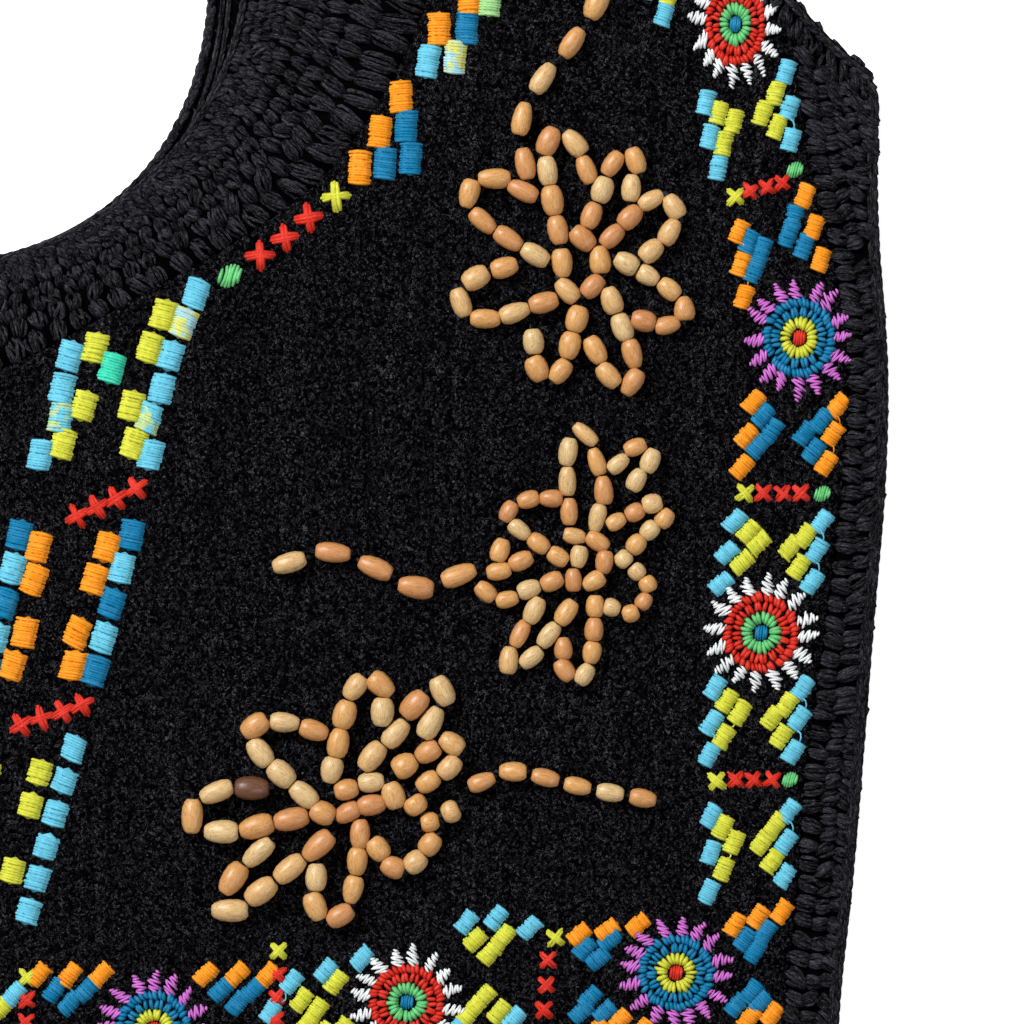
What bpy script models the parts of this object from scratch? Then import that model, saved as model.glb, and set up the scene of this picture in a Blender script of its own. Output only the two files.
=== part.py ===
# Beaded knit vest, laid flat on its back, front up.
#
# The front and back are knitted panels. Crochet edges them all round: a yoke at the neck,
# a band at each armhole, a folded band down each side, a join over each shoulder and a band
# at the hem. Wooden beads are sewn on the front in flowers, and stand up from its wall.
# X runs across the vest (+X is the wearer's left), Y up to the shoulders, Z up from the
# surface it lies on. The origin is under the middle of the vest. Sizes here are millimetres.

import math

import bmesh
import bpy
from mathutils import Vector
from mathutils.geometry import delaunay_2d_cdt

MM = 0.001

# Driving sizes of the garment
HALF_LENGTH = 236.0
SEAM_GAP = 0.3
SEAM_INSET = SEAM_GAP / 2.0

# Layers, from the surface up
BACK_WALL = 1.8
FRONT_BASE = BACK_WALL + SEAM_GAP
KNIT_WALL = 1.8
CROCHET_WALL = 2.2
RIB_RISE = 0.9

# Neck: the front is cut a little wider than the back, whose edge shows inside it
NECK_CENTRE_Y = 63.6
NECK_AT_SHOULDER = 77.0
FRONT_NECK = {"half_width": 83.1, "depth": 75.1, "power": 2.0}
BACK_NECK = {"half_width": 74.2, "depth": 73.2, "power": 2.31}

# Armhole: a tall ellipse beside the vest, and a wider one where its band ends
ARMHOLE = {"centre": (260.6, 188.2), "half_width": 80.0, "half_height": 159.5}
ARMHOLE_BAND = {"centre": (260.6, 188.2), "half_width": 88.5, "half_height": 166.0}
ARMHOLE_BAND_TIP = 172.1
SHOULDER_TIP = 183.0
SHOULDER_DROP = 21.0
SHOULDER_JOIN = 6.0
UNDERARM_X = 237.5
UNDERARM_INNER_X = 216.9
UNDERARM_MIDDLE_X = 222.0

# Hem: a soft point at centre front
HEM_CORNER_X = 226.6
HEM_RISE = 20.0
HEM_BEND = 1.1
HEM_BAND = 15.2
HEM_INNER_CORNER_X = 213.4

# Side edge and the inner edge of the side band, from underarm to hem
SIDE_COLUMNS = ("y", "outer_x", "inner_x")
SIDE_ROWS = [
    (44.2, 238.0, UNDERARM_INNER_X),
    (15.2, 237.2, 220.6),
    (-4.2, 237.6, 225.0),
    (-23.6, 239.0, 228.6),
    (-43.0, 239.7, 229.6),
    (-67.3, 238.8, 227.9),
    (-91.5, 236.8, 224.9),
    (-115.8, 234.9, 221.8),
    (-140.0, 233.0, 218.8),
    (-164.2, 230.8, 217.2),
    (-188.5, 228.2, 214.5),
    (-216.0, 226.6, 213.2),
]

# Outer edge of the neck yoke as (x, y), from centre front to the shoulder
YOKE_ROWS = [
    (0.0, -42.0),
    (26.0, -35.0),
    (54.5, -20.0),
    (86.1, -1.8),
    (104.2, 12.7),
    (120.0, 35.8),
    (130.0, 62.0),
    (135.0, 100.0),
    (135.0, 160.0),
]
YOKE_AT_SHOULDER = 133.0

# Beads: turned wooden ovals, sewn end to end in loops
BEAD_HEIGHT = 5.0
BEAD_SPACING = 1.03
BEAD_SQUEEZE = 0.2
BEAD_FOOT = 0.9
BEAD_CROWN = 0.6
BEAD_APART = 0.15
SETTLING_ROUNDS = 60

# Each flower and each stem is strings of beads: the length and width of its beads and, a row
# for each string, the number of beads and the line that they lie on. A flower's first string is
# its core and the others are its petals
FLOWERS = [
    {
        "bead": (7.4, 5.2),
        "strings": [
            (5, [(165.5, -4.0), (169.5, -8.5), (168.0, -15.5), (162.0, -17.0), (160.5, -10.0)]),
            (6, [(159.5, -2.0), (157.0, 12.0), (157.5, 20.0), (163.0, 19.5), (166.5, 12.5)]),
            (5, [(167.5, 1.5), (173.5, 15.0), (178.0, 15.0), (177.5, 8.0)]),
            (6, [(172.5, -3.5), (182.0, 5.5), (187.5, 3.5), (186.5, -2.5), (182.0, -7.0)]),
            (6, [(176.0, -10.0), (186.0, -16.0), (190.0, -21.0), (186.0, -25.0), (180.0, -24.0)]),
            (6, [(172.5, -19.0), (177.5, -32.0), (177.0, -39.5), (172.0, -37.5), (168.5, -31.0)]),
            (5, [(164.0, -23.5), (160.0, -36.0), (155.0, -36.5), (153.5, -29.0)]),
            (6, [(156.0, -19.5), (142.5, -23.5), (136.0, -19.5), (139.0, -14.0), (146.5, -11.0)]),
            (6, [(154.0, -8.0), (141.5, 0.0), (138.0, 7.0), (144.0, 10.5), (151.0, 7.5)]),
        ],
    },
    {
        "bead": (6.8, 4.7),
        "strings": [
            (6, [(163.5, -76.0), (169.5, -77.5), (171.5, -82.0), (168.5, -86.5), (163.5, -87.5),
                 (164.5, -81.0)]),
            (7, [(162.0, -70.0), (162.0, -55.0), (165.5, -51.0), (168.5, -57.0), (170.5, -65.0),
                 (169.0, -72.0)]),
            (4, [(174.0, -58.5), (178.5, -55.0), (182.0, -55.5), (178.5, -62.5)]),
            (6, [(173.5, -72.5), (181.5, -69.0), (185.5, -70.0), (178.0, -78.5)]),
            (6, [(175.5, -81.5), (181.0, -88.5), (177.5, -94.0), (173.0, -93.5)]),
            (6, [(168.5, -93.0), (167.5, -105.0), (164.5, -110.5), (161.0, -108.0), (160.5, -103.0)]),
            (6, [(161.5, -94.5), (153.5, -105.0), (147.5, -106.5), (153.5, -93.5)]),
            (4, [(158.0, -87.0), (146.5, -91.5), (142.0, -89.5)]),
            (3, [(150.5, -82.0), (144.5, -84.5), (145.5, -79.5)]),
            (6, [(159.5, -81.0), (147.5, -72.0), (151.5, -67.5), (158.0, -67.0)]),
        ],
    },
    {
        "bead": (8.4, 5.6),
        "strings": [
            (6, [(108.0, -137.0), (116.0, -135.5), (119.5, -140.5), (114.0, -141.0), (108.0, -144.5),
                 (103.0, -143.0)]),
            (6, [(105.0, -133.0), (108.0, -118.5), (111.5, -111.5), (117.0, -112.5), (117.5, -119.0)]),
            (5, [(114.5, -129.5), (126.5, -115.5), (131.5, -113.5), (128.5, -121.0)]),
            (5, [(122.5, -131.5), (133.0, -126.0), (134.0, -131.0), (128.0, -135.5)]),
            (3, [(125.5, -141.5), (128.0, -144.5), (133.0, -143.0)]),
            (4, [(128.5, -150.5), (124.0, -155.5), (119.0, -155.5), (115.5, -151.5)]),
            (6, [(111.5, -147.5), (110.0, -161.0), (106.5, -168.0), (101.0, -166.0), (101.0, -158.5)]),
            (6, [(101.5, -151.0), (87.5, -162.0), (79.5, -166.5), (80.5, -159.5), (87.0, -152.5)]),
            (6, [(95.0, -144.5), (78.0, -147.5), (71.0, -144.0), (76.5, -138.0), (85.5, -137.0)]),
            (6, [(98.0, -138.5), (87.5, -128.5), (85.5, -122.5), (93.0, -121.0), (100.5, -123.0)]),
        ],
    },
]
STEMS = [
    {"bead": (8.0, 5.2),
     "strings": [(8, [(151.5, 14.0), (150.5, 23.5), (155.0, 33.5), (168.5, 52.0), (180.0, 84.0)])]},
    {"bead": (8.4, 5.4),
     "strings": [(5, [(135.5, -85.5), (126.0, -88.5), (117.0, -84.5), (105.5, -80.0), (94.5, -82.5)])]},
    {"bead": (6.6, 4.6),
     "strings": [(6, [(141.0, -135.5), (149.0, -133.0), (164.0, -136.5), (180.0, -139.5)])]},
]

# Crochet relief across a band: place from the inner edge, and share of the rise
BAND_RIBS = [(0.0, 0.0), (0.08, 0.8), (0.26, 1.0), (0.36, 0.1), (0.46, 0.9), (0.62, 0.9),
             (0.72, 0.0), (0.82, 0.8), (0.95, 0.8), (1.0, 0.2)]
YOKE_RIBS = [(0.0, 0.2), (0.03, 0.7), (0.09, 0.7), (0.12, 0.1), (0.18, 0.6), (0.24, 0.1),
             (0.31, 0.7), (0.38, 0.1), (0.46, 0.8), (0.55, 0.1), (0.65, 0.9), (0.75, 0.1),
             (0.87, 1.0), (1.0, 0.0)]
HEM_RIBS = [(0.0, 0.0), (0.12, 0.9), (0.3, 0.9), (0.4, 0.1), (0.52, 0.9), (0.7, 0.9),
            (0.8, 0.1), (0.92, 0.7), (1.0, 0.2)]

SHOULDER_RIBS = [(0.0, 0.2), (0.3, 0.9), (0.75, 0.9), (1.0, 0.3)]
PLAIN = [(0.0, 0.0), (1.0, 0.0)]

# How much of a folded band's width is the fold itself
SIDE_FOLD_SHARE = 0.16
SHOULDER_FOLD_SHARE = 0.3

# Sections along each edge: the two pieces that meet there share them
YOKE_STATIONS = 26
ARM_STATIONS = 14
SIDE_STATIONS = 20
HEM_STATIONS = 12
SHOULDER_STATIONS = 6

# Finishes: colour, roughness
FINISHES = {
    "black_knit": ((0.012, 0.012, 0.014, 1.0), 0.9),
    "black_crochet": ((0.016, 0.016, 0.019, 1.0), 0.8),
}


def clear_scene():
    for item in list(bpy.data.objects):
        bpy.data.objects.remove(item, do_unlink=True)


def finish(name):
    material = bpy.data.materials.get(name) or bpy.data.materials.new(name)
    material.use_nodes = True
    shader = material.node_tree.nodes["Principled BSDF"]
    colour, roughness = FINISHES[name]
    shader.inputs["Base Color"].default_value = colour
    shader.inputs["Roughness"].default_value = roughness
    shader.inputs["Metallic"].default_value = 0.0
    return material


def add_object(name, bm, material):
    bmesh.ops.recalc_face_normals(bm, faces=bm.faces)
    mesh = bpy.data.meshes.new(name)
    bm.to_mesh(mesh)
    bm.free()
    mesh.materials.append(finish(material))
    item = bpy.data.objects.new(name, mesh)
    bpy.context.collection.objects.link(item)
    return item


# Curves in the plane of the cloth

def ease(t):
    return t * t * (3.0 - 2.0 * t)


def mirrored(points):
    return [(-x, y) for x, y in points]


def both_sides(points):
    """A curve that starts on the centre line, carried over to the other side."""
    return mirrored(points[:0:-1]) + list(points)


def smooth_curve(rows, steps):
    """A curve through the rows, with this many steps between each two."""
    points = []
    for i in range(len(rows) - 1):
        before = Vector(rows[max(i - 1, 0)])
        start = Vector(rows[i])
        end = Vector(rows[i + 1])
        after = Vector(rows[min(i + 2, len(rows) - 1)])
        for k in range(steps):
            t = k / steps
            bend = (2.0 * start + (end - before) * t
                    + (2.0 * before - 5.0 * start + 4.0 * end - after) * t * t
                    + (3.0 * start - before - 3.0 * end + after) * t ** 3)
            points.append(tuple(bend / 2.0))
    points.append(tuple(rows[-1]))
    return points


def evenly(points, count):
    """The same curve as this many points, the same distance apart along it."""
    lengths = [0.0]
    for a, b in zip(points, points[1:]):
        lengths.append(lengths[-1] + math.dist(a, b))
    result = []
    k = 0
    for i in range(count):
        target = lengths[-1] * i / (count - 1)
        while k < len(points) - 2 and lengths[k + 1] < target:
            k += 1
        span = max(lengths[k + 1] - lengths[k], 1e-9)
        t = min(max((target - lengths[k]) / span, 0.0), 1.0)
        a = points[k]
        b = points[k + 1]
        result.append((a[0] + (b[0] - a[0]) * t, a[1] + (b[1] - a[1]) * t))
    return result


def shoulder_y(x, below=0.0):
    """Height of the shoulder line at x, or of a line this far below it."""
    slope = SHOULDER_DROP / (SHOULDER_TIP - NECK_AT_SHOULDER)
    return HALF_LENGTH - slope * (x - NECK_AT_SHOULDER) - below


def rise_to_shoulder(start, end_x, count):
    end_y = shoulder_y(end_x, SHOULDER_JOIN)
    points = []
    for i in range(1, count + 1):
        t = i / count
        points.append((start[0] + (end_x - start[0]) * ease(t), start[1] + (end_y - start[1]) * t))
    return points


def neck_edge(cut):
    """From centre front round the scoop and up to the shoulder."""
    points = []
    for i in range(25):
        angle = math.radians(90.0 * i / 24)
        x = cut["half_width"] * math.sin(angle) ** (2.0 / cut["power"])
        y = NECK_CENTRE_Y - cut["depth"] * math.cos(angle) ** (2.0 / cut["power"])
        points.append((x, y))
    return points + rise_to_shoulder(points[-1], NECK_AT_SHOULDER, 10)


def yoke_edge():
    return smooth_curve(YOKE_ROWS, 4) + rise_to_shoulder(YOKE_ROWS[-1], YOKE_AT_SHOULDER, 3)


def oval_stretch(oval, low_x, high_angle_x, count):
    """Part of an armhole's oval, from one X to another, upwards."""
    centre_x, centre_y = oval["centre"]
    low = math.acos((centre_x - low_x) / oval["half_width"])
    high = math.acos(min((centre_x - high_angle_x) / oval["half_width"], 1.0))
    points = []
    for i in range(count):
        angle = low + (high - low) * i / (count - 1)
        points.append((centre_x - oval["half_width"] * math.cos(angle),
                       centre_y - oval["half_height"] * math.sin(angle)))
    return points


def armhole_edge(oval, low_x, shoulder_x):
    """From low_x up the armhole to the shoulder."""
    narrow_x = oval["centre"][0] - oval["half_width"]
    points = oval_stretch(oval, low_x, narrow_x, 21)
    return points + rise_to_shoulder(points[-1], shoulder_x, 2)


def hem_y(x, above=0.0):
    return -HALF_LENGTH + HEM_RISE * (x / HEM_CORNER_X) ** HEM_BEND + above


def hem_edge(last_x, above):
    return [(last_x * i / 24, hem_y(last_x * i / 24, above)) for i in range(25)]


def side_edge(column, first_y, last_point):
    """One of the two long edges of the side band, from the underarm down to the hem."""
    rows = [(row[SIDE_COLUMNS.index(column)], row[0]) for row in SIDE_ROWS]
    curve = smooth_curve(rows, 4)
    kept = [p for p in curve if last_point[1] + 1.0 < p[1] < first_y - 1.0]
    above = [p for p in curve if p[1] >= first_y - 1.0]
    first_x = above[-1][0] if above else kept[0][0]
    return [(first_x, first_y)] + kept + [last_point]


# Solids

def strip(name, inner, outer, base, wall, ribs, material, rise=RIB_RISE):
    """A crochet band between two edges: plain inside, ribs along its outer face."""
    bm = bmesh.new()
    rows = []
    last = len(inner) - 1
    for i, (a, b) in enumerate(zip(inner, outer)):
        a = Vector(a)
        b = Vector(b)
        side = (b - a).normalized()
        if i in (0, last):
            step = 1 if i == 0 else -1
            onward = (Vector(inner[i + step]) + Vector(outer[i + step]) - a - b).normalized()
            along = (onward - side * onward.dot(side)).normalized()
            a = a + along * SEAM_INSET
            b = b + along * SEAM_INSET
        a = a + side * SEAM_INSET
        b = b - side * SEAM_INSET
        row = [bm.verts.new((a.x, a.y, base))]
        for place, share in ribs:
            p = a.lerp(b, place)
            row.append(bm.verts.new((p.x, p.y, base + wall + rise * share)))
        row.append(bm.verts.new((b.x, b.y, base)))
        rows.append(row)
    around = len(rows[0])
    for low, high in zip(rows, rows[1:]):
        for j in range(around):
            k = (j + 1) % around
            bm.faces.new((low[j], low[k], high[k], high[j]))
    bm.faces.new(rows[0])
    bm.faces.new(rows[-1][::-1])
    for v in bm.verts:
        v.co *= MM
    return add_object(name, bm, material)


def folded_strip(name, inner, outer, section, material):
    """A band that folds round an edge, from a closed section of (place, height)."""
    bm = bmesh.new()
    rows = []
    last = len(inner) - 1
    for i, (a, b) in enumerate(zip(inner, outer)):
        a = Vector(a)
        b = Vector(b)
        side = (b - a).normalized()
        if i in (0, last):
            step = 1 if i == 0 else -1
            onward = (Vector(inner[i + step]) + Vector(outer[i + step]) - a - b).normalized()
            along = (onward - side * onward.dot(side)).normalized()
            a = a + along * SEAM_INSET
            b = b + along * SEAM_INSET
        a = a + side * SEAM_INSET
        row = []
        for place, height in section:
            p = a.lerp(b, place)
            row.append(bm.verts.new((p.x * MM, p.y * MM, height * MM)))
        rows.append(row)
    around = len(section)
    for low, high in zip(rows, rows[1:]):
        for j in range(around):
            k = (j + 1) % around
            bm.faces.new((low[j], low[k], high[k], high[j]))
    bmesh.ops.triangulate(bm, faces=[bm.faces.new(rows[0]), bm.faces.new(rows[-1][::-1])])
    return add_object(name, bm, material)


def fold_section(ribs, fold_share):
    """A flat C: the back wing, the fold at the outer edge, and the ribbed front wing."""
    top = FRONT_BASE + CROCHET_WALL
    inside = 1.0 - fold_share
    shoulder = 1.0 - fold_share * 0.25
    section = [(0.0, 0.0), (inside + 0.3 * fold_share, 0.0), (shoulder, 0.5), (1.0, 1.7),
               (1.0, 2.9), (shoulder, top - 0.2)]
    for place, share in reversed(ribs):
        section.append((place * (inside - 0.02), top + RIB_RISE * share))
    section += [(0.0, FRONT_BASE), (inside, FRONT_BASE), (inside, BACK_WALL), (0.0, BACK_WALL)]
    return section


def inset(outline, distance):
    """The outline moved in by a distance all round; it runs anticlockwise."""
    result = []
    count = len(outline)
    for i in range(count):
        here = Vector(outline[i])
        back = (here - Vector(outline[i - 1])).normalized()
        forward = (Vector(outline[(i + 1) % count]) - here).normalized()
        normal_a = Vector((-back.y, back.x))
        normal_b = Vector((-forward.y, forward.x))
        middle = (normal_a + normal_b).normalized()
        result.append(here + middle * (distance / max(middle.dot(normal_a), 0.4)))
    return result


def triangulate(points, loops):
    """Triangles inside the first loop and outside every other one."""
    found, _, faces, sources, _, inside = delaunay_2d_cdt(points, [], loops, 1, 1e-5, True)
    kept = [face for face, names in zip(faces, inside) if list(names) == [0]]
    return found, kept, sources


def panel(name, outline, base, wall, material, beads=()):
    """A knitted panel: its outline as a wall, with the beads raised in the outer face."""
    edge = inset(outline, SEAM_INSET)
    count = len(edge)
    flat = [Vector(p) for p in edge]
    loops = [list(range(count))]
    for bead in beads:
        ring = bead_ring(bead, 1.0)
        loops.append(list(range(len(flat), len(flat) + len(ring))))
        flat += ring
    points, faces, sources = triangulate(flat, loops)
    bm = bmesh.new()
    top_z = base + wall
    top = [bm.verts.new((p.x, p.y, top_z)) for p in points]
    for face in faces:
        bm.faces.new([top[i] for i in face])
    where = {}
    for i, names in enumerate(sources):
        for name_of_point in names:
            where[name_of_point] = top[i]
    for bead, loop in zip(beads, loops[1:]):
        low = [where[i] for i in loop]
        crown = bead_ring(bead, BEAD_CROWN)
        high = [bm.verts.new((p.x, p.y, top_z + BEAD_HEIGHT)) for p in crown]
        for j in range(len(low)):
            k = (j + 1) % len(low)
            bm.faces.new((low[j], low[k], high[k], high[j]))
        bm.faces.new(high)
    under = [bm.verts.new((p[0], p[1], base)) for p in edge]
    for face in triangulate(edge, [loops[0]])[1]:
        bm.faces.new([under[i] for i in face][::-1])
    for i in range(count):
        k = (i + 1) % count
        bm.faces.new((under[i], under[k], where[k], where[i]))
    for v in bm.verts:
        v.co *= MM
    return add_object(name, bm, material)


# Bead flowers

def bead_ring(bead, scale):
    """The six-sided outline of a bead that lies along its thread."""
    x, y, heading, length, width = bead
    along = Vector((math.cos(heading), math.sin(heading)))
    across = Vector((-along.y, along.x))
    half = 0.5 * length * scale
    wide = 0.5 * width * scale
    corners = ((1.0, -0.5), (1.0, 0.5), (0.0, 1.0), (-1.0, 0.5), (-1.0, -0.5), (0.0, -1.0))
    centre = Vector((x, y))
    return [centre + along * (half * u) + across * (wide * v) for u, v in corners]


def string_beads(line, count, size):
    """Beads end to end from the line's first point to its last, each turned to follow it."""
    length, width = size
    steps = 400
    dense = evenly(smooth_curve(line, 8), steps + 1)
    run = sum(math.dist(a, b) for a, b in zip(dense, dense[1:]))
    length = min(length, run / (count - 1) / BEAD_SPACING)
    beads = []
    for i in range(count):
        k = round(i / (count - 1) * steps)
        a = dense[max(k - 12, 0)]
        b = dense[min(k + 12, steps)]
        heading = math.atan2(b[1] - a[1], b[0] - a[0])
        beads.append([dense[k][0], dense[k][1], heading, length, width])
    return beads


def middle_line(bead):
    """A bead as a round-ended bar: the two ends of its middle line, and its radius."""
    x, y, heading, length, width = bead
    half = max(0.5 * (length - width), 0.1)
    step = Vector((math.cos(heading) * half, math.sin(heading) * half))
    return Vector((x, y)) - step, Vector((x, y)) + step, 0.5 * width


def nearest_on(a, b, p):
    t = max(0.0, min(1.0, (p - a).dot(b - a) / (b - a).length_squared))
    return a.lerp(b, t)


def push_apart(first, second):
    """The move that parts two beads, or None where they are already clear."""
    a0, a1, ra = middle_line(first)
    b0, b1, rb = middle_line(second)
    pairs = [(p, nearest_on(b0, b1, p)) for p in (a0, a1, (a0 + a1) / 2.0)]
    pairs += [(nearest_on(a0, a1, p), p) for p in (b0, b1, (b0 + b1) / 2.0)]
    p, q = min(pairs, key=lambda pair: (pair[0] - pair[1]).length)
    gap = (p - q).length
    short = ra + rb - BEAD_SQUEEZE - gap
    if short <= 0.0:
        return None
    away = (p - q) / gap if gap > 1e-6 else Vector((1.0, 0.0))
    return away * (0.5 * short)


def settle(beads):
    """Beads that would overlap are pushed apart, a little at a time."""
    for _ in range(SETTLING_ROUNDS):
        for i, first in enumerate(beads):
            for second in beads[i + 1:]:
                if math.dist(first[:2], second[:2]) > first[3]:
                    continue
                move = push_apart(first, second)
                if move is not None:
                    first[0] += move.x
                    first[1] += move.y
                    second[0] -= move.x
                    second[1] -= move.y
    return beads


def clear_by(ring, other):
    """The widest straight gap between two outlines, below zero where they overlap."""
    widest = -math.inf
    for near, far in ((ring, other), (other, ring)):
        for a, b in zip(near, near[1:] + near[:1]):
            outward = Vector((b.y - a.y, a.x - b.x)).normalized()
            widest = max(widest, min((p - a).dot(outward) for p in far))
    return widest


def part_feet(beads):
    """Where two beads still touch at the cloth, both are cut a little smaller."""
    for bead in beads:
        bead[3] *= BEAD_FOOT
        bead[4] *= BEAD_FOOT
    touching = True
    while touching:
        touching = False
        for i, first in enumerate(beads):
            for second in beads[i + 1:]:
                if math.dist(first[:2], second[:2]) > first[3] + second[3]:
                    continue
                if clear_by(bead_ring(first, 1.0), bead_ring(second, 1.0)) < BEAD_APART:
                    touching = True
                    for bead in (first, second):
                        bead[3] *= 0.96
                        bead[4] *= 0.98
    return beads


def all_beads():
    beads = []
    for flower, stem in zip(FLOWERS, STEMS):
        group = []
        for part in (flower, stem):
            for count, line in part["strings"]:
                group += string_beads(line, count, part["bead"])
        beads += settle(group)
    part_feet(beads)
    turned = [[-x, y, math.pi - heading, length, width] for x, y, heading, length, width in beads]
    return beads + turned


# The pieces

def knit_outline():
    """The edge of a knitted panel, anticlockwise from centre front at the hem."""
    hem = evenly(hem_edge(HEM_INNER_CORNER_X, HEM_BAND), HEM_STATIONS)
    arm = evenly(armhole_edge(ARMHOLE_BAND, UNDERARM_INNER_X, ARMHOLE_BAND_TIP), ARM_STATIONS)
    side = evenly(side_edge("inner_x", arm[0][1], hem[-1]), SIDE_STATIONS)[::-1]
    yoke = evenly(yoke_edge(), YOKE_STATIONS)[::-1]
    half = hem + side[1:-1] + arm + yoke
    return half + mirrored(half[-2:0:-1])


def neck_yoke(name, cut, base, wall, ribs):
    inner = both_sides(evenly(neck_edge(cut), YOKE_STATIONS))
    outer = both_sides(evenly(yoke_edge(), YOKE_STATIONS))
    return strip(name, inner, outer, base, wall, ribs, "black_crochet")


def hem_band(name, base, wall, ribs):
    inner = both_sides(evenly(hem_edge(HEM_INNER_CORNER_X, HEM_BAND), HEM_STATIONS))
    outer = both_sides(evenly(hem_edge(HEM_CORNER_X, 0.0), HEM_STATIONS))
    return strip(name, inner, outer, base, wall, ribs, "black_crochet")


def armhole_band(name, turn, base, wall, ribs):
    """From the side edge under the arm, up the armhole to the shoulder."""
    corner = oval_stretch(ARMHOLE_BAND, UNDERARM_X, UNDERARM_INNER_X, 2)
    inner = evenly(corner, 4)[:-1]
    inner += evenly(armhole_edge(ARMHOLE_BAND, UNDERARM_INNER_X, ARMHOLE_BAND_TIP), ARM_STATIONS)
    outer = oval_stretch(ARMHOLE, UNDERARM_X, UNDERARM_MIDDLE_X, 4)[:-1]
    outer += evenly(armhole_edge(ARMHOLE, UNDERARM_MIDDLE_X, SHOULDER_TIP), ARM_STATIONS)
    return strip(name, turn(inner), turn(outer), base, wall, ribs, "black_crochet")


def side_band(name, turn):
    """From the armhole band down to the hem band, folded round the side of the vest."""
    underarm = oval_stretch(ARMHOLE_BAND, UNDERARM_X, UNDERARM_INNER_X, 2)
    hem_inner = (HEM_INNER_CORNER_X, hem_y(HEM_INNER_CORNER_X, HEM_BAND))
    hem_outer = (HEM_CORNER_X, hem_y(HEM_CORNER_X))
    inner = evenly(side_edge("inner_x", underarm[-1][1], hem_inner), SIDE_STATIONS)
    outer = evenly(side_edge("outer_x", underarm[0][1], hem_outer), SIDE_STATIONS)
    section = fold_section(BAND_RIBS, SIDE_FOLD_SHARE)
    return folded_strip(name, turn(inner), turn(outer), section, "black_crochet")


def shoulder_join(name, turn):
    """A narrow crochet join, folded over the shoulder from front to back."""
    inner = []
    outer = []
    for i in range(SHOULDER_STATIONS):
        share = i / (SHOULDER_STATIONS - 1)
        x = NECK_AT_SHOULDER + (SHOULDER_TIP - NECK_AT_SHOULDER) * share
        inner.append((x, shoulder_y(x, SHOULDER_JOIN)))
        outer.append((x, shoulder_y(x)))
    section = fold_section(SHOULDER_RIBS, SHOULDER_FOLD_SHARE)
    return folded_strip(name, turn(inner), turn(outer), section, "black_crochet")


def build():
    clear_scene()
    panel("front_panel", knit_outline(), FRONT_BASE, KNIT_WALL, "black_knit", all_beads())
    panel("back_panel", knit_outline(), 0.0, BACK_WALL, "black_knit")
    neck_yoke("front_yoke", FRONT_NECK, FRONT_BASE, CROCHET_WALL, YOKE_RIBS)
    neck_yoke("back_yoke", BACK_NECK, 0.0, BACK_WALL, PLAIN)
    hem_band("front_hem", FRONT_BASE, CROCHET_WALL, HEM_RIBS)
    hem_band("back_hem", 0.0, BACK_WALL, PLAIN)
    for side, turn in (("left", list), ("right", mirrored)):
        armhole_band("front_armhole_" + side, turn, FRONT_BASE, CROCHET_WALL, HEM_RIBS)
        armhole_band("back_armhole_" + side, turn, 0.0, BACK_WALL, PLAIN)
        side_band("side_band_" + side, turn)
        shoulder_join("shoulder_join_" + side, turn)


build()
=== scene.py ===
# %% [markdown]
# # A beaded knit vest, laid flat
# The real object is a pull-over vest of fine black knit. Black crochet edges it all round, and
# its front is worked in satin-stitch blocks, sun-like rosettes and crosses in bright stranded
# cotton, with flowers of turned wooden beads. It lies on its back on a pale table. The packed
# CAD model gives every piece its place. This script dresses it in yarn, thread and wood.

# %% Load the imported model
import math

import bpy
import numpy as np
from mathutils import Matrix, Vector
from mathutils.geometry import delaunay_2d_cdt


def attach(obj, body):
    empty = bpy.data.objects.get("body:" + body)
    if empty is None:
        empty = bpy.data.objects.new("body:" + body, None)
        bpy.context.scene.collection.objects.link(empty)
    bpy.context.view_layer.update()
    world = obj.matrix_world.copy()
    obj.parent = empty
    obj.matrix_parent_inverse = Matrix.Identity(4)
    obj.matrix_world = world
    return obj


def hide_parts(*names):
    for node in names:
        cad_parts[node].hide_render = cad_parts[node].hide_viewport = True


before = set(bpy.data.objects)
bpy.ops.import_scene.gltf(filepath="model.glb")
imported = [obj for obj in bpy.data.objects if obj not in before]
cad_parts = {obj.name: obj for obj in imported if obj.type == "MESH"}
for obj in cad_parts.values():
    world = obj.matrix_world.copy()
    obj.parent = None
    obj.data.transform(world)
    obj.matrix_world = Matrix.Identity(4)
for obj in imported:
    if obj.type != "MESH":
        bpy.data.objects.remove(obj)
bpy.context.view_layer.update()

MM = 0.001
dice = np.random.default_rng(1917)
print("packed nodes:", sorted(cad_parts))

# %% [markdown]
# ## The cut of the garment
# A pattern cutter draws the edges of the pieces first. The same edges are used here as in the
# CAD source, in millimetres: X across, Y up to the shoulders, origin at the middle. Each curve
# is a short list of points, so that crochet rows can be laid out between two of them.

# %% Sizes of the cut
HALF_LENGTH = 236.0
FRONT_BASE = 2.1
FRONT_TOP = 3.9
BACK_TOP = 1.8
CROCHET_TOP = 5.2
NECK_CENTRE_Y = 63.6
NECK_AT_SHOULDER = 77.0
FRONT_NECK = {"half_width": 83.1, "depth": 75.1, "power": 2.0}
BACK_NECK = {"half_width": 74.2, "depth": 73.2, "power": 2.31}
ARMHOLE = {"centre": (260.6, 188.2), "half_width": 80.0, "half_height": 159.5}
ARMHOLE_BAND = {"centre": (260.6, 188.2), "half_width": 88.5, "half_height": 166.0}
ARMHOLE_BAND_TIP = 172.1
SHOULDER_TIP = 183.0
SHOULDER_DROP = 21.0
SHOULDER_JOIN = 6.0
UNDERARM_X = 237.5
UNDERARM_INNER_X = 216.9
UNDERARM_MIDDLE_X = 222.0
HEM_CORNER_X = 226.6
HEM_RISE = 20.0
HEM_BEND = 1.1
HEM_BAND = 15.2
HEM_INNER_CORNER_X = 213.4
SIDE_COLUMNS = ("y", "outer_x", "inner_x")
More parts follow.
